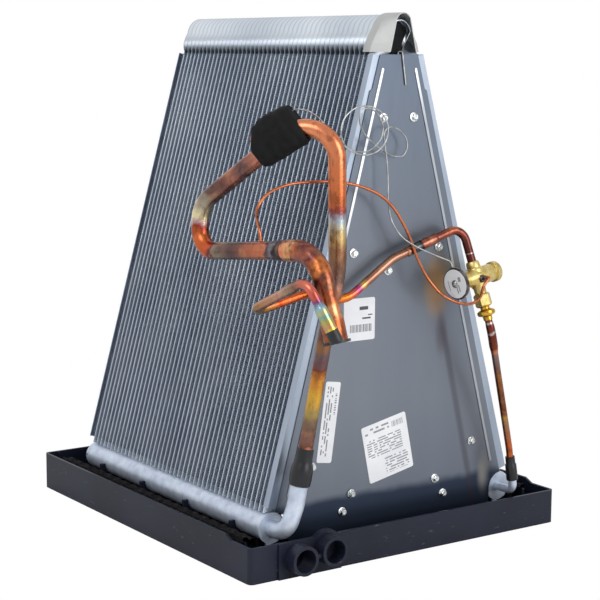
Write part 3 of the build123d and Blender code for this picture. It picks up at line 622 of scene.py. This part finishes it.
def swept(name, stations, profile, finish, sides=24):
    """A round tube along stations; its profile is (distance, radius) pairs in millimetres.

    Its UV map says how far along the tube a point lies, for the bands of colour."""
    total = length_of(stations)
    marks = [distance / 1000 for distance, radius in profile]
    sizes = [radius / 1000 for distance, radius in profile]
    heading = (stations[1] - stations[0]).normalized()
    rest = heading.orthogonal().normalized()
    verts = []
    uvs = []
    faces = []
    gone = 0.0
    for k, centre in enumerate(stations):
        if k:
            gone += (centre - stations[k - 1]).length
        ahead = (stations[min(k + 1, len(stations) - 1)] - stations[max(k - 1, 0)]).normalized()
        rest = (rest - ahead * rest.dot(ahead)).normalized()
        other = ahead.cross(rest)
        radius = interp(gone, marks, sizes)
        for i in range(sides):
            turn = 2 * math.pi * i / sides
            verts.append(centre + (rest * math.cos(turn) + other * math.sin(turn)) * radius)
            uvs.append((gone / total, abs(i / sides - 0.5)))
    for k in range(len(stations) - 1):
        for i in range(sides):
            j = (i + 1) % sides
            faces.append((k * sides + i, k * sides + j, (k + 1) * sides + j, (k + 1) * sides + i))
    faces.append(tuple(range(sides))[::-1])
    faces.append(tuple(range((len(stations) - 1) * sides, len(stations) * sides)))
    piece = new_mesh(name, verts, faces)
    layer = piece.data.uv_layers.new(name="UVMap")
    for loop in piece.data.loops:
        layer.data[loop.index].uv = uvs[loop.vertex_index]
    return settled(piece, finish)


plain_copper = heated("plain_copper", 1.0, [(0, (190, 112, 76)), (1000, (190, 112, 76))], dark=0.5)
dress(plain_copper, "suction_riser", "suction_loop", "suction_outlet")

plug_plastic = material("plug_plastic", tone(22, 23, 27), 0.0, 0.4)
mottled(plug_plastic, 120, tone(14, 15, 17), tone(30, 32, 38))
bump(plug_plastic, noise(plug_plastic, 500, 2), 0.0002, 0.6)
dress(plug_plastic, "suction_plug")

sleeve_rubber = material("sleeve_rubber", tone(14, 15, 20), 0.0, 0.33)
mottled(sleeve_rubber, 40, tone(9, 10, 14), tone(19, 20, 27))
bump(sleeve_rubber, noise(sleeve_rubber, 300, 3), 0.0002, 0.6)
dress(sleeve_rubber, "suction_sleeve")

RISER_FOOT = spot(-147.5, -230.5, 92)
RISER_RUN = spot(34.5, -16.5, 226)


def on_riser(height):
    """Point on the axis of the suction riser at a height in millimetres."""
    return RISER_FOOT + RISER_RUN * ((height / 1000 - RISER_FOOT.z) / RISER_RUN.z)


riser_way = on_riser(200) - on_riser(100)
riser_route = rounded_route([on_riser(112), on_riser(308)], [])
riser_tint = heated("riser_tint", length_of(riser_route), [
    (0, (120, 80, 65)), (21, (196, 128, 104)), (28, (112, 72, 58)), (38, (130, 94, 82)),
    (54, (124, 102, 84)), (64, (166, 142, 86)), (80, (214, 164, 66)), (98, (196, 130, 58)),
    (112, (122, 62, 48)),
    (121, (104, 88, 92)), (134, (140, 100, 70)), (150, (110, 78, 66)), (199, (130, 85, 65)),
])
riser = swept("riser_tube", riser_route, [(0, 7.94)], riser_tint, 28)
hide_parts("suction_riser")

loop_top = spot(-116, -251, 509.5)
loop_fall = spot(-179, -178, 434.5)
loop_low = spot(-206, -126, 341)
outlet_corner = spot(-186, -316, 359.5)
outlet_end = spot(-178, -338, 271)
outlet_run = (outlet_corner - loop_low).normalized()
loop_route = rounded_route(
    [on_riser(298), on_riser(330), loop_top, loop_fall, spot(-206, -128, 391), loop_low,
     loop_low + outlet_run * 0.152],
    [0.150, 0.033, 0.060, 0.036, 0.022],
)
loop_tint = heated("loop_tint", length_of(loop_route), [
    (0, (96, 70, 66)), (10, (182, 128, 108)), (18, (112, 88, 80)), (52, (150, 108, 78)),
    (64, (196, 168, 112)), (76, (196, 190, 168)), (84, (176, 190, 202)), (92, (136, 66, 66)),
    (100, (206, 112, 66)),
    (190, (226, 140, 100)), (262, (176, 116, 96)), (276, (92, 74, 74)), (292, (168, 112, 94)),
    (304, (122, 84, 76)), (326, (104, 82, 76)), (342, (168, 156, 136)), (354, (232, 218, 168)),
    (361, (222, 190, 182)),
    (367, (160, 58, 48)), (378, (200, 106, 60)), (400, (196, 92, 52)), (408, (104, 38, 54)),
    (414, (142, 126, 106)),
    (428, (122, 98, 88)), (446, (92, 70, 70)), (480, (180, 106, 78)), (498, (196, 116, 84)),
    (502, (58, 50, 54)), (510, (126, 120, 124)),
    (516, (54, 48, 52)), (532, (60, 54, 58)),
])
loop = swept("loop_tube", loop_route, [
    (0, 9.53), (500, 9.53), (504, 10.2), (514, 10.7), (526, 10.9), (532, 10.0),
], loop_tint, 32)
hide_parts("suction_loop")

outlet_route = rounded_route([loop_low + outlet_run * 0.145, outlet_corner, outlet_end], [0.038])
# Heat tint along the outlet; the pale stop at 101 mm is a painted highlight on the bell
outlet_tint_and_highlight = heated("outlet_tint_and_highlight", length_of(outlet_route), [
    (0, (222, 132, 96)), (5, (222, 140, 104)), (12, (210, 166, 116)), (20, (196, 118, 78)),
    (32, (160, 96, 78)), (43, (100, 58, 62)), (55, (206, 120, 64)), (71, (120, 72, 62)),
    (85, (176, 98, 58)), (101, (224, 156, 112)), (109, (180, 100, 60)), (127, (150, 84, 54)),
], wander=0.05, dark=0.7)
outlet = swept("outlet_tube", outlet_route, [
    (0, 10.9), (1.5, 11.6), (4, 11.2), (101, 11.1), (107, 12.2), (128, 12.25),
], outlet_tint_and_highlight, 32)
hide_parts("suction_outlet")

# The black sleeve shrunk over the joint of the riser and its stub
sleeve = turned("heat_sleeve", on_riser(92), riser_way, [
    (4, 10.3), (5, 11.6), (12, 12.2), (20, 12.2), (25, 11.6), (29, 10.2), (33, 9.5), (40, 9.3), (44, 9.2),
    (45, 8.3),
], sleeve_rubber, 40)
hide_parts("suction_sleeve")

# ---------------------------------------------------------------- expansion valve
# A cast brass body with a flare nut below it and a bright flange under the nut. A thin steel disc, the power
# head, closes its left end, and a steel boss at its front takes the equalizer tube.
valve_x = Vector((0.98184, 0.13385, 0.13446))
valve_y = Vector((-0.09377, 0.95846, -0.26939))
valve_z = Vector((-0.16494, 0.25192, 0.95368))
valve_origin = spot(85, -243, 304.7)


def in_valve(x, y, z):
    """Point from millimetres along the valve's own directions."""
    return valve_origin + (valve_x * x + valve_y * y + valve_z * z) / 1000


def inside(mat, u, v, box):
    """1 inside a box given as left, right, foot, top."""
    left, right, foot, top = box
    return product(mat,
                   calc(mat, "GREATER_THAN", u, left), calc(mat, "LESS_THAN", u, right),
                   calc(mat, "GREATER_THAN", v, foot), calc(mat, "LESS_THAN", v, top))


brass = material("brass", tone(214, 192, 122), 1.0, 0.38)
mottled(brass, 160, tone(198, 172, 98), tone(226, 206, 140))
bump(brass, noise(brass, 900, 3), 0.0002, 0.5)
dress(brass, "valve_body", "valve_cap", "outlet_nut")

bright_brass = material("bright_brass", tone(206, 160, 62), 1.0, 0.24)
mottled(bright_brass, 200, tone(176, 128, 40), tone(222, 184, 84))
dress(bright_brass, "outlet_collar")

rim_steel = material("rim_steel", tone(84, 78, 80), 1.0, 0.3)
mottled(rim_steel, 200, tone(60, 54, 56), tone(120, 112, 110))
dress(rim_steel, "power_head", "equalizer_fitting")

# The dial is a white disc with a few plain grey bars
DIAL_BARS = [
    (0.56, 0.80, 0.62, 0.67), (0.60, 0.84, 0.52, 0.57), (0.30, 0.46, 0.68, 0.80), (0.34, 0.70, 0.20, 0.23),
]
dial_paper = material("dial_paper", tone(222, 224, 226), 0.0, 0.35)
dial_u, dial_v = place(dial_paper, "UV")[:2]
dial_ink = 0.0
for bar in DIAL_BARS:
    dial_ink = calc(dial_paper, "MAXIMUM", dial_ink, inside(dial_paper, dial_u, dial_v, bar))
dial_ink = product(dial_paper, dial_ink, 0.7)
paint(dial_paper, blend_of(dial_paper, dial_ink, tone(222, 224, 226), tone(60, 62, 66)))

casting = turned("valve_casting", valve_origin, valve_x, [
    (-27, 7.6), (-22, 7.8), (-14, 8.6), (-9, 10.4), (8, 10.8), (12, 10.3), (25, 10.0), (26, 11.6), (31, 11.8),
    (32, 11.2), (32, 8.2), (31, 7.6),
], brass, 40)
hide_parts("valve_body", "valve_cap")
inlet = turned("valve_inlet", valve_origin, valve_z, [
    (-19.5, 6.6), (-13, 7.0), (-9, 9.3), (8, 9.6), (10, 9.2), (11, 8.0), (13, 7.8), (16.5, 7.4), (18, 6.4),
], brass, 36)
nut = turned("flare_nut", valve_origin, valve_z * -1, [
    (18.5, 6.0), (19.5, 8.4), (21, 9.8), (32.5, 9.8), (34, 8.4), (35, 6.0),
], brass, 6, False, valve_y)
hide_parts("outlet_nut")
collar = turned("flange_ring", valve_origin, valve_z * -1, [
    (33, 5.4), (37, 5.2), (38, 7.4), (39.5, 10.0), (42, 10.4), (44, 9.4), (45, 6.4), (46, 5.3), (50, 5.0),
], bright_brass, 36)
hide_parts("outlet_collar")

# Power head: a thin steel disc with a plain dial face and a hub
disc = turned("power_disc", valve_origin, valve_x * -1, [
    (26, 8.6), (28, 12.0), (30, 16.4), (31.5, 18.0), (34, 18.3), (35, 17.6), (35.2, 16.0),
], rim_steel, 48)
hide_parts("power_head")
turned("power_dial", valve_origin, valve_x * -1, [
    (35.1, 16.4), (35.5, 16.2), (35.6, 4.0),
], dial_paper, 48, True, valve_z * -1)
turned("power_hub", valve_origin, valve_x * -1, [
    (35.5, 4.6), (36.6, 4.2), (37.6, 2.6), (38.4, 2.4), (38.8, 1.2),
], wire_metal, 24)
boss = turned("equalizer_boss", in_valve(-2, -8.5, -3), valve_y * -1, [
    (0, 4.6), (3.5, 4.2), (4.2, 3.0), (7.5, 2.6), (8.2, 1.7),
], rim_steel, 24)
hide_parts("equalizer_fitting")

# ---------------------------------------------------------------- liquid line
# The thin copper line that brings the liquid: from its plugged end round a wave of bends to a strainer, a
# wider shell crimped at both ends, and over an elbow down into the top of the valve.
dress(plain_copper, "liquid_line", "liquid_strainer", "liquid_elbow")
dress(plug_plastic, "liquid_plug")

PLUG_CLEAR = 0.013

run_low = spot(-18.5, -222, 330)
elbow_corner = in_valve(0, 0, 59.5)
strainer_run = (elbow_corner - run_low).normalized()


def on_strainer(distance):
    """Point on the axis of the strainer at a distance in millimetres from its low end."""
    return run_low + strainer_run * distance / 1000


liquid_end = spot(-192.5, -360, 274)
liquid_corner = spot(-212, -335, 333.5)
liquid_drop = (liquid_end - liquid_corner).normalized()
liquid_mouth = liquid_end - liquid_drop * PLUG_CLEAR
liquid_route = rounded_route(
    [liquid_mouth, liquid_corner, spot(-210, -245, 295.2), spot(-199.5, -229.5, 288.5),
     spot(-127, -224, 302.5), spot(-84.5, -222, 286.5), run_low, on_strainer(27.5)],
    [0.0138, 0.014, 0.014, 0.060, 0.040, 0.050],
)
liquid_tint = heated("liquid_tint", length_of(liquid_route), [
    (0, (240, 208, 70)), (3, (206, 156, 116)), (10, (178, 172, 96)), (15, (124, 170, 162)),
    (19, (190, 182, 112)), (25, (146, 190, 204)), (30, (126, 78, 118)), (36, (206, 96, 82)),
    (46, (222, 118, 98)), (58, (190, 112, 92)), (66, (140, 102, 84)), (78, (156, 130, 110)),
    (92, (196, 148, 122)), (120, (184, 132, 102)), (140, (164, 120, 78)), (168, (150, 112, 64)),
    (186, (196, 116, 66)), (191, (204, 70, 40)), (198, (226, 110, 60)), (262, (228, 110, 56)),
    (284, (238, 130, 48)), (297, (206, 92, 84)), (304, (170, 70, 120)), (310, (206, 160, 90)),
    (318, (150, 104, 84)), (345, (170, 128, 106)), (372, (150, 108, 88)), (386, (120, 78, 66)),
], wander=0.006, dark=0.25)
liquid = swept("liquid_tube", liquid_route, [
    (0, 6.35), (24, 6.35), (27, 4.8), (70, 4.8), (73, 5.9), (88, 5.9), (91, 4.9), (400, 4.8),
], liquid_tint)
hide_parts("liquid_line")

strainer_route = rounded_route([on_strainer(19.5), on_strainer(62)], [], 0.001)
strainer_tint = heated("strainer_tint", length_of(strainer_route), [
    (0, (176, 128, 100)), (5, (120, 84, 70)), (8, (52, 48, 50)), (14, (92, 96, 100)), (20, (48, 42, 44)),
    (22, (150, 92, 76)), (34, (166, 108, 88)), (42, (120, 66, 56)),
], wander=0.003)
strainer = swept("strainer_shell", strainer_route, [
    (0, 5.2), (2, 5.8), (20, 5.9), (21.5, 6.2), (41, 6.2), (42.5, 5.2),
], strainer_tint)
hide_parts("liquid_strainer")

elbow_route = rounded_route([on_strainer(54), elbow_corner, in_valve(0, 0, 10)], [0.015])
elbow_tint = heated("elbow_tint", length_of(elbow_route), [
    (0, (150, 88, 72)), (12, (124, 70, 60)), (30, (140, 72, 56)), (50, (112, 60, 54)), (64, (92, 52, 50)),
    (68.5, (92, 52, 50)), (69.3, (206, 190, 186)), (70.2, (96, 54, 50)), (88, (92, 54, 48)),
    (96, (150, 96, 66)), (104, (188, 106, 74)), (112, (206, 118, 84)), (121, (196, 150, 84)),
], wander=0.006)
elbow = swept("elbow_tube", elbow_route, [
    (0, 4.9), (72, 4.9), (84, 5.1), (90, 6.0), (96, 5.6), (102, 5.9), (112, 5.9),
], elbow_tint)
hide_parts("liquid_elbow")

# ---------------------------------------------------------------- drop to the right header
# The short copper line from the valve's nut down to a stub on the right header, with a joint below the
# valve and a second, smaller sleeve shrunk over its foot.
dress(plain_copper, "drop_tube")
dress(sleeve_rubber, "drop_sleeve")

drop_joint = spot(152.5, -233, 80)
drop_slope = (spot(160, -231, 44) - drop_joint).normalized()


def on_drop(height):
    """Point on the axis of the drop's foot at a height in millimetres."""
    return drop_joint + drop_slope * ((height / 1000 - drop_joint.z) / drop_slope.z)


drop_route = rounded_route(
    [in_valve(0, 0, -37), in_valve(0, 0, -62), spot(129.5, -240, 162), on_drop(98), drop_joint],
    [0.036, 0.120, 0.060],
)
drop_tint = heated("drop_tint", length_of(drop_route), [
    (0, (140, 80, 60)), (15, (120, 66, 54)), (17, (204, 192, 190)), (18.5, (104, 52, 46)),
    (26, (118, 60, 50)), (28, (204, 190, 186)), (29.5, (108, 54, 44)), (48, (128, 66, 46)),
    (53, (206, 128, 96)), (58, (140, 112, 108)), (74, (128, 98, 90)), (84, (156, 104, 66)),
    (100, (140, 86, 50)), (116, (112, 62, 40)), (138, (120, 66, 42)), (142, (178, 138, 66)),
    (150, (160, 118, 88)), (164, (170, 108, 74)), (180, (196, 100, 54)), (202, (200, 104, 56)),
], wander=0.006)
drop = swept("drop_line", drop_route, [
    (0, 4.2), (16, 4.3), (20, 4.9), (46, 5.0), (56, 3.97), (203, 3.97),
], drop_tint)
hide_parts("drop_tube")
drop_sleeve = turned("drop_heat_sleeve", on_drop(71), drop_slope, [
    (-17, 5.0), (-16.5, 5.6), (-8, 5.7), (-6.5, 6.6), (9, 6.9), (12, 6.8), (12.5, 5.6),
], sleeve_rubber, 28)
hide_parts("drop_sleeve")

# ---------------------------------------------------------------- sensing bulb, its wrap and its tubes
# A copper bulb strapped to the falling run of the suction loop, under a sleeve of soft black foam. The thin
# capillary goes from it to the power head, and the equalizer tube from the suction line to the valve.
WRAP_START = 48.0
WRAP_LENGTH = 58.0
WRAP_TALL = 23.0
WRAP_WIDE = 15.6
WRAP_ROWS = 26
WRAP_SIDES = 36
SQUARENESS = 0.72
SAG = 13.0
CREASE_DEPTH = 1.3
CREASE_PLACE = -0.45
CREASE_WIDTH = 0.16
HEM_START = 0.86
HEM_DROP = 0.10
LUMPS = 1.5

dress(plain_copper, "sensing_bulb", "equalizer_tube")
dress(screw_metal, "bulb_straps")
dress(wire_metal, "capillary_tube")
dress(wrap_foam, "bulb_wrap")


def squared(value):
    """Sine or cosine pushed outwards, which makes a circle squarer."""
    return math.copysign(abs(value) ** SQUARENESS, value)


def wrap_spoke(share, turn):
    """Point on the foam in millimetres along the slope, up and sideways from the line through the loop."""
    lift = squared(math.cos(turn))
    out = squared(math.sin(turn))
    tall = WRAP_TALL + 1.2 * math.sin(3.1 * share + 0.4)
    wide = WRAP_WIDE + 0.9 * math.sin(5.0 * share)
    middle = 7.0 - 5.0 * (1 - share) ** 2
    lean = -SAG * share ** 2 * max(0.0, lift) + 3.5 * (1 - share) ** 2 * max(0.0, -lift)
    crease = CREASE_DEPTH * math.exp(-((lift - CREASE_PLACE) / CREASE_WIDTH) ** 2)
    crease += 0.5 * math.sin(9 * share + 2 * turn)
    hem = 1.0 - HEM_DROP * max(0.0, abs(share - 0.5) * 2 - HEM_START) / (1 - HEM_START)
    swell = LUMPS * lumps.noise(Vector((9 * share, 2.2 * lift, 2.2 * out))) - crease
    up = middle + (tall + swell) * hem * lift
    sideways = (wide + swell) * hem * out
    return WRAP_START + WRAP_LENGTH * share + lean, up, sideways


slope = (loop_fall - loop_top).normalized()
rise = (Vector((0, 0, 1)) - slope * slope.z).normalized()
side_on = slope.cross(rise)
verts = []
faces = []
for k in range(WRAP_ROWS + 1):
    for i in range(WRAP_SIDES):
        down, up, sideways = wrap_spoke(k / WRAP_ROWS, 2 * math.pi * i / WRAP_SIDES)
        verts.append(loop_top + (slope * down + rise * up + side_on * sideways) / 1000)
for k in range(0, WRAP_ROWS * WRAP_SIDES, WRAP_SIDES):
    for i in range(WRAP_SIDES):
        j = (i + 1) % WRAP_SIDES
        faces.append((k + i, k + WRAP_SIDES + i, k + WRAP_SIDES + j, k + j))
faces.append(tuple(range(WRAP_SIDES)))
faces.append(tuple(range(WRAP_ROWS * WRAP_SIDES, (WRAP_ROWS + 1) * WRAP_SIDES))[::-1])
wrap = settled(new_mesh("bulb_foam", verts, faces), wrap_foam)
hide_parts("bulb_wrap")

# ---------------------------------------------------------------- labels
# Three stickers on the front plate. They are white paper with rows of plain grey dashes and blocks of
# plain stripes, and no words.
LETTER_GAPS = 0.3
RULED_SHARE = 0.5


def jumping(mat, row, letter):
    """A number between 0 and 1 that jumps from letter to letter."""
    seed = calc(mat, "ADD", product(mat, calc(mat, "FLOOR", row), 7.31), calc(mat, "FLOOR", letter))
    wave = product(mat, calc(mat, "SINE", product(mat, seed, 12.99)), 437.5)
    return calc(mat, "ABSOLUTE", calc(mat, "FRACT", wave))


def label_material(name, centre, size, tilt, lines, stripes, ink=(70, 70, 74)):
    """White sheet with marks in boxes, which are shares of the sheet from its middle.

    A line box has its rows and letters per sheet, a stripe box its bars per sheet, and either may run
    upright."""
    mat = material(name, tone(226, 227, 230), 0.0, 0.4)
    where = mat.node_tree.nodes.new("ShaderNodeTexCoord")
    mapping = mat.node_tree.nodes.new("ShaderNodeMapping")
    mapping.vector_type = "TEXTURE"
    mapping.inputs["Location"].default_value = (centre[0], 0, centre[1])
    mapping.inputs["Rotation"].default_value = (0, -math.radians(tilt), 0)
    mapping.inputs["Scale"].default_value = (size[0], 1, size[1])
    split = mat.node_tree.nodes.new("ShaderNodeSeparateXYZ")
    mat.node_tree.links.new(where.outputs["Object"], mapping.inputs["Vector"])
    mat.node_tree.links.new(mapping.outputs["Vector"], split.inputs["Vector"])
    u, v = split.outputs["X"], split.outputs["Z"]
    mark = 0.0
    for box, upright, rows, letters in lines:
        line, run = (u, v) if upright else (v, u)
        row = product(mat, line, rows)
        ruled = calc(mat, "LESS_THAN", calc(mat, "FRACT", row), RULED_SHARE)
        lettered = calc(mat, "GREATER_THAN", jumping(mat, row, product(mat, run, letters)), LETTER_GAPS)
        inked = product(mat, ruled, lettered, inside(mat, u, v, box))
        mark = calc(mat, "MAXIMUM", mark, inked)
    for box, upright, count in stripes:
        run = v if upright else u
        bar = calc(mat, "FRACT", product(mat, run, count))
        wide = product(mat, calc(mat, "SINE", product(mat, run, count * 2.3)), 0.2)
        inked = calc(mat, "LESS_THAN", bar, calc(mat, "ADD", wide, 0.5))
        mark = calc(mat, "MAXIMUM", mark, product(mat, inked, inside(mat, u, v, box)))
    sheet = ramp(mat, noise(mat, 30, 3), [(0.3, tone(218, 220, 224)), (0.7, tone(232, 232, 234))])
    paint(mat, blend_of(mat, mark, sheet, tone(*ink)))
    return mat


number_paper = label_material(
    "number_paper", (-0.0506, 0.2635), (0.0425, 0.047), 0,
    [((-0.12, 0.42, 0.08, 0.30), False, 4.6, 3.6), ((-0.12, 0.40, -0.04, 0.04), False, 12, 11)],
    [((-0.30, 0.42, -0.30, -0.12), False, 26)],
)
notice_paper = label_material(
    "notice_paper", (-0.091, 0.153), (0.020, 0.090), -8,
    [((-0.34, 0.12, -0.42, 0.44), True, 6.2, 42)],
    [((0.24, 0.36, 0.10, 0.36), True, 34)],
    (120, 120, 126),
)
rating_paper = label_material(
    "rating_paper", (-0.009, 0.114), (0.063, 0.0665), 11.8,
    [((-0.44, 0.10, 0.30, 0.44), False, 15, 16), ((-0.44, 0.34, -0.08, 0.24), False, 24, 24),
     ((-0.10, 0.42, -0.44, -0.14), False, 22, 26)],
    [((0.16, 0.42, 0.32, 0.42), False, 40)],
    (140, 142, 148),
)
dress(number_paper, "number_label")
dress(notice_paper, "notice_label")
dress(rating_paper, "rating_label")

# ---------------------------------------------------------------- stage, light and camera
# A white room: the floor and the backdrop are white to the camera, and less bright to the light that falls
# on the coil. One lamp stands high at the left, and a larger one stands before the front.
FLOOR_HALF = 3
FLOOR_GAP = 0.0005
FRONT_GLOW = 0.62
BACK_GLOW = 1.0


def seen_and_lit(tree, seen, lit, out):
    """The camera sees one shader, and light meets the other."""
    path = tree.nodes.new("ShaderNodeLightPath")
    mix = tree.nodes.new("ShaderNodeMixShader")
    tree.links.new(path.outputs["Is Camera Ray"], mix.inputs["Fac"])
    tree.links.new(lit.outputs[0], mix.inputs[1])
    tree.links.new(seen.outputs[0], mix.inputs[2])
    tree.links.new(mix.outputs["Shader"], out.inputs["Surface"])


world = bpy.data.worlds.new("studio")
bpy.context.scene.world = world
world.use_nodes = True
tree = world.node_tree
tree.nodes.clear()
where = tree.nodes.new("ShaderNodeTexCoord")
split = tree.nodes.new("ShaderNodeSeparateXYZ")
tree.links.new(where.outputs["Generated"], split.inputs["Vector"])
glow_by_side = tree.nodes.new("ShaderNodeMapRange")
glow_by_side.inputs["From Min"].default_value = -1.0
glow_by_side.inputs["From Max"].default_value = 1.0
glow_by_side.inputs["To Min"].default_value = FRONT_GLOW
glow_by_side.inputs["To Max"].default_value = BACK_GLOW
tree.links.new(split.outputs["Y"], glow_by_side.inputs["Value"])
lit = tree.nodes.new("ShaderNodeBackground")
lit.inputs["Color"].default_value = (0.97, 0.98, 1.0, 1)
tree.links.new(glow_by_side.outputs["Result"], lit.inputs["Strength"])
seen = tree.nodes.new("ShaderNodeBackground")
seen.inputs["Color"].default_value = (1, 1, 1, 1)
seen.inputs["Strength"].default_value = 1.0
seen_and_lit(tree, seen, lit, tree.nodes.new("ShaderNodeOutputWorld"))

floor_white = bpy.data.materials.new("floor_white")
floor_white.use_nodes = True
tree = floor_white.node_tree
tree.nodes.clear()
lit = tree.nodes.new("ShaderNodeBsdfDiffuse")
lit.inputs["Color"].default_value = (0.8, 0.8, 0.8, 1)
seen = tree.nodes.new("ShaderNodeEmission")
seen.inputs["Color"].default_value = (1, 1, 1, 1)
seen_and_lit(tree, seen, lit, tree.nodes.new("ShaderNodeOutputMaterial"))
floor = new_mesh("floor", [
    (-FLOOR_HALF, -FLOOR_HALF, 0), (FLOOR_HALF, -FLOOR_HALF, 0),
    (FLOOR_HALF, FLOOR_HALF, 0), (-FLOOR_HALF, FLOOR_HALF, 0),
], [(0, 1, 2, 3)])
floor.data.materials.append(floor_white)
floor.location.z = size_at_load[0][2] - FLOOR_GAP

for name, stand, aim, watts, across in (
    ("key", (-1.6, -0.9, 1.7), (0, 0, 0.3), 12, 1.2),
    ("fill", (0.6, -2.2, 0.9), (0, -0.1, 0.25), 22, 1.4),
):
    lamp = bpy.data.lights.new(name, "AREA")
    lamp.energy = watts
    lamp.size = across
    holder = bpy.data.objects.new(name, lamp)
    holder.location = stand
    holder.rotation_euler = (Vector(aim) - Vector(stand)).to_track_quat("-Z", "Y").to_euler()
    bpy.context.scene.collection.objects.link(holder)

# A long lens at the front left, a little above the coil
lens = bpy.data.cameras.new("lens")
lens.sensor_width = 36
lens.lens = 98.93
lens.clip_end = 20
camera = bpy.data.objects.new("camera", lens)
stand = Vector((-1.1235, -1.6347, 0.5531))
look = Vector((0.5646, 0.8119, -0.1487))
right = Vector((0.8214, -0.5703, 0.0055))
facing = Matrix((right, right.cross(look), -look)).transposed().to_4x4()
camera.matrix_world = Matrix.Translation(stand) @ facing
bpy.context.scene.collection.objects.link(camera)
bpy.context.scene.camera = camera
bpy.context.scene.view_settings.view_transform = "Standard"
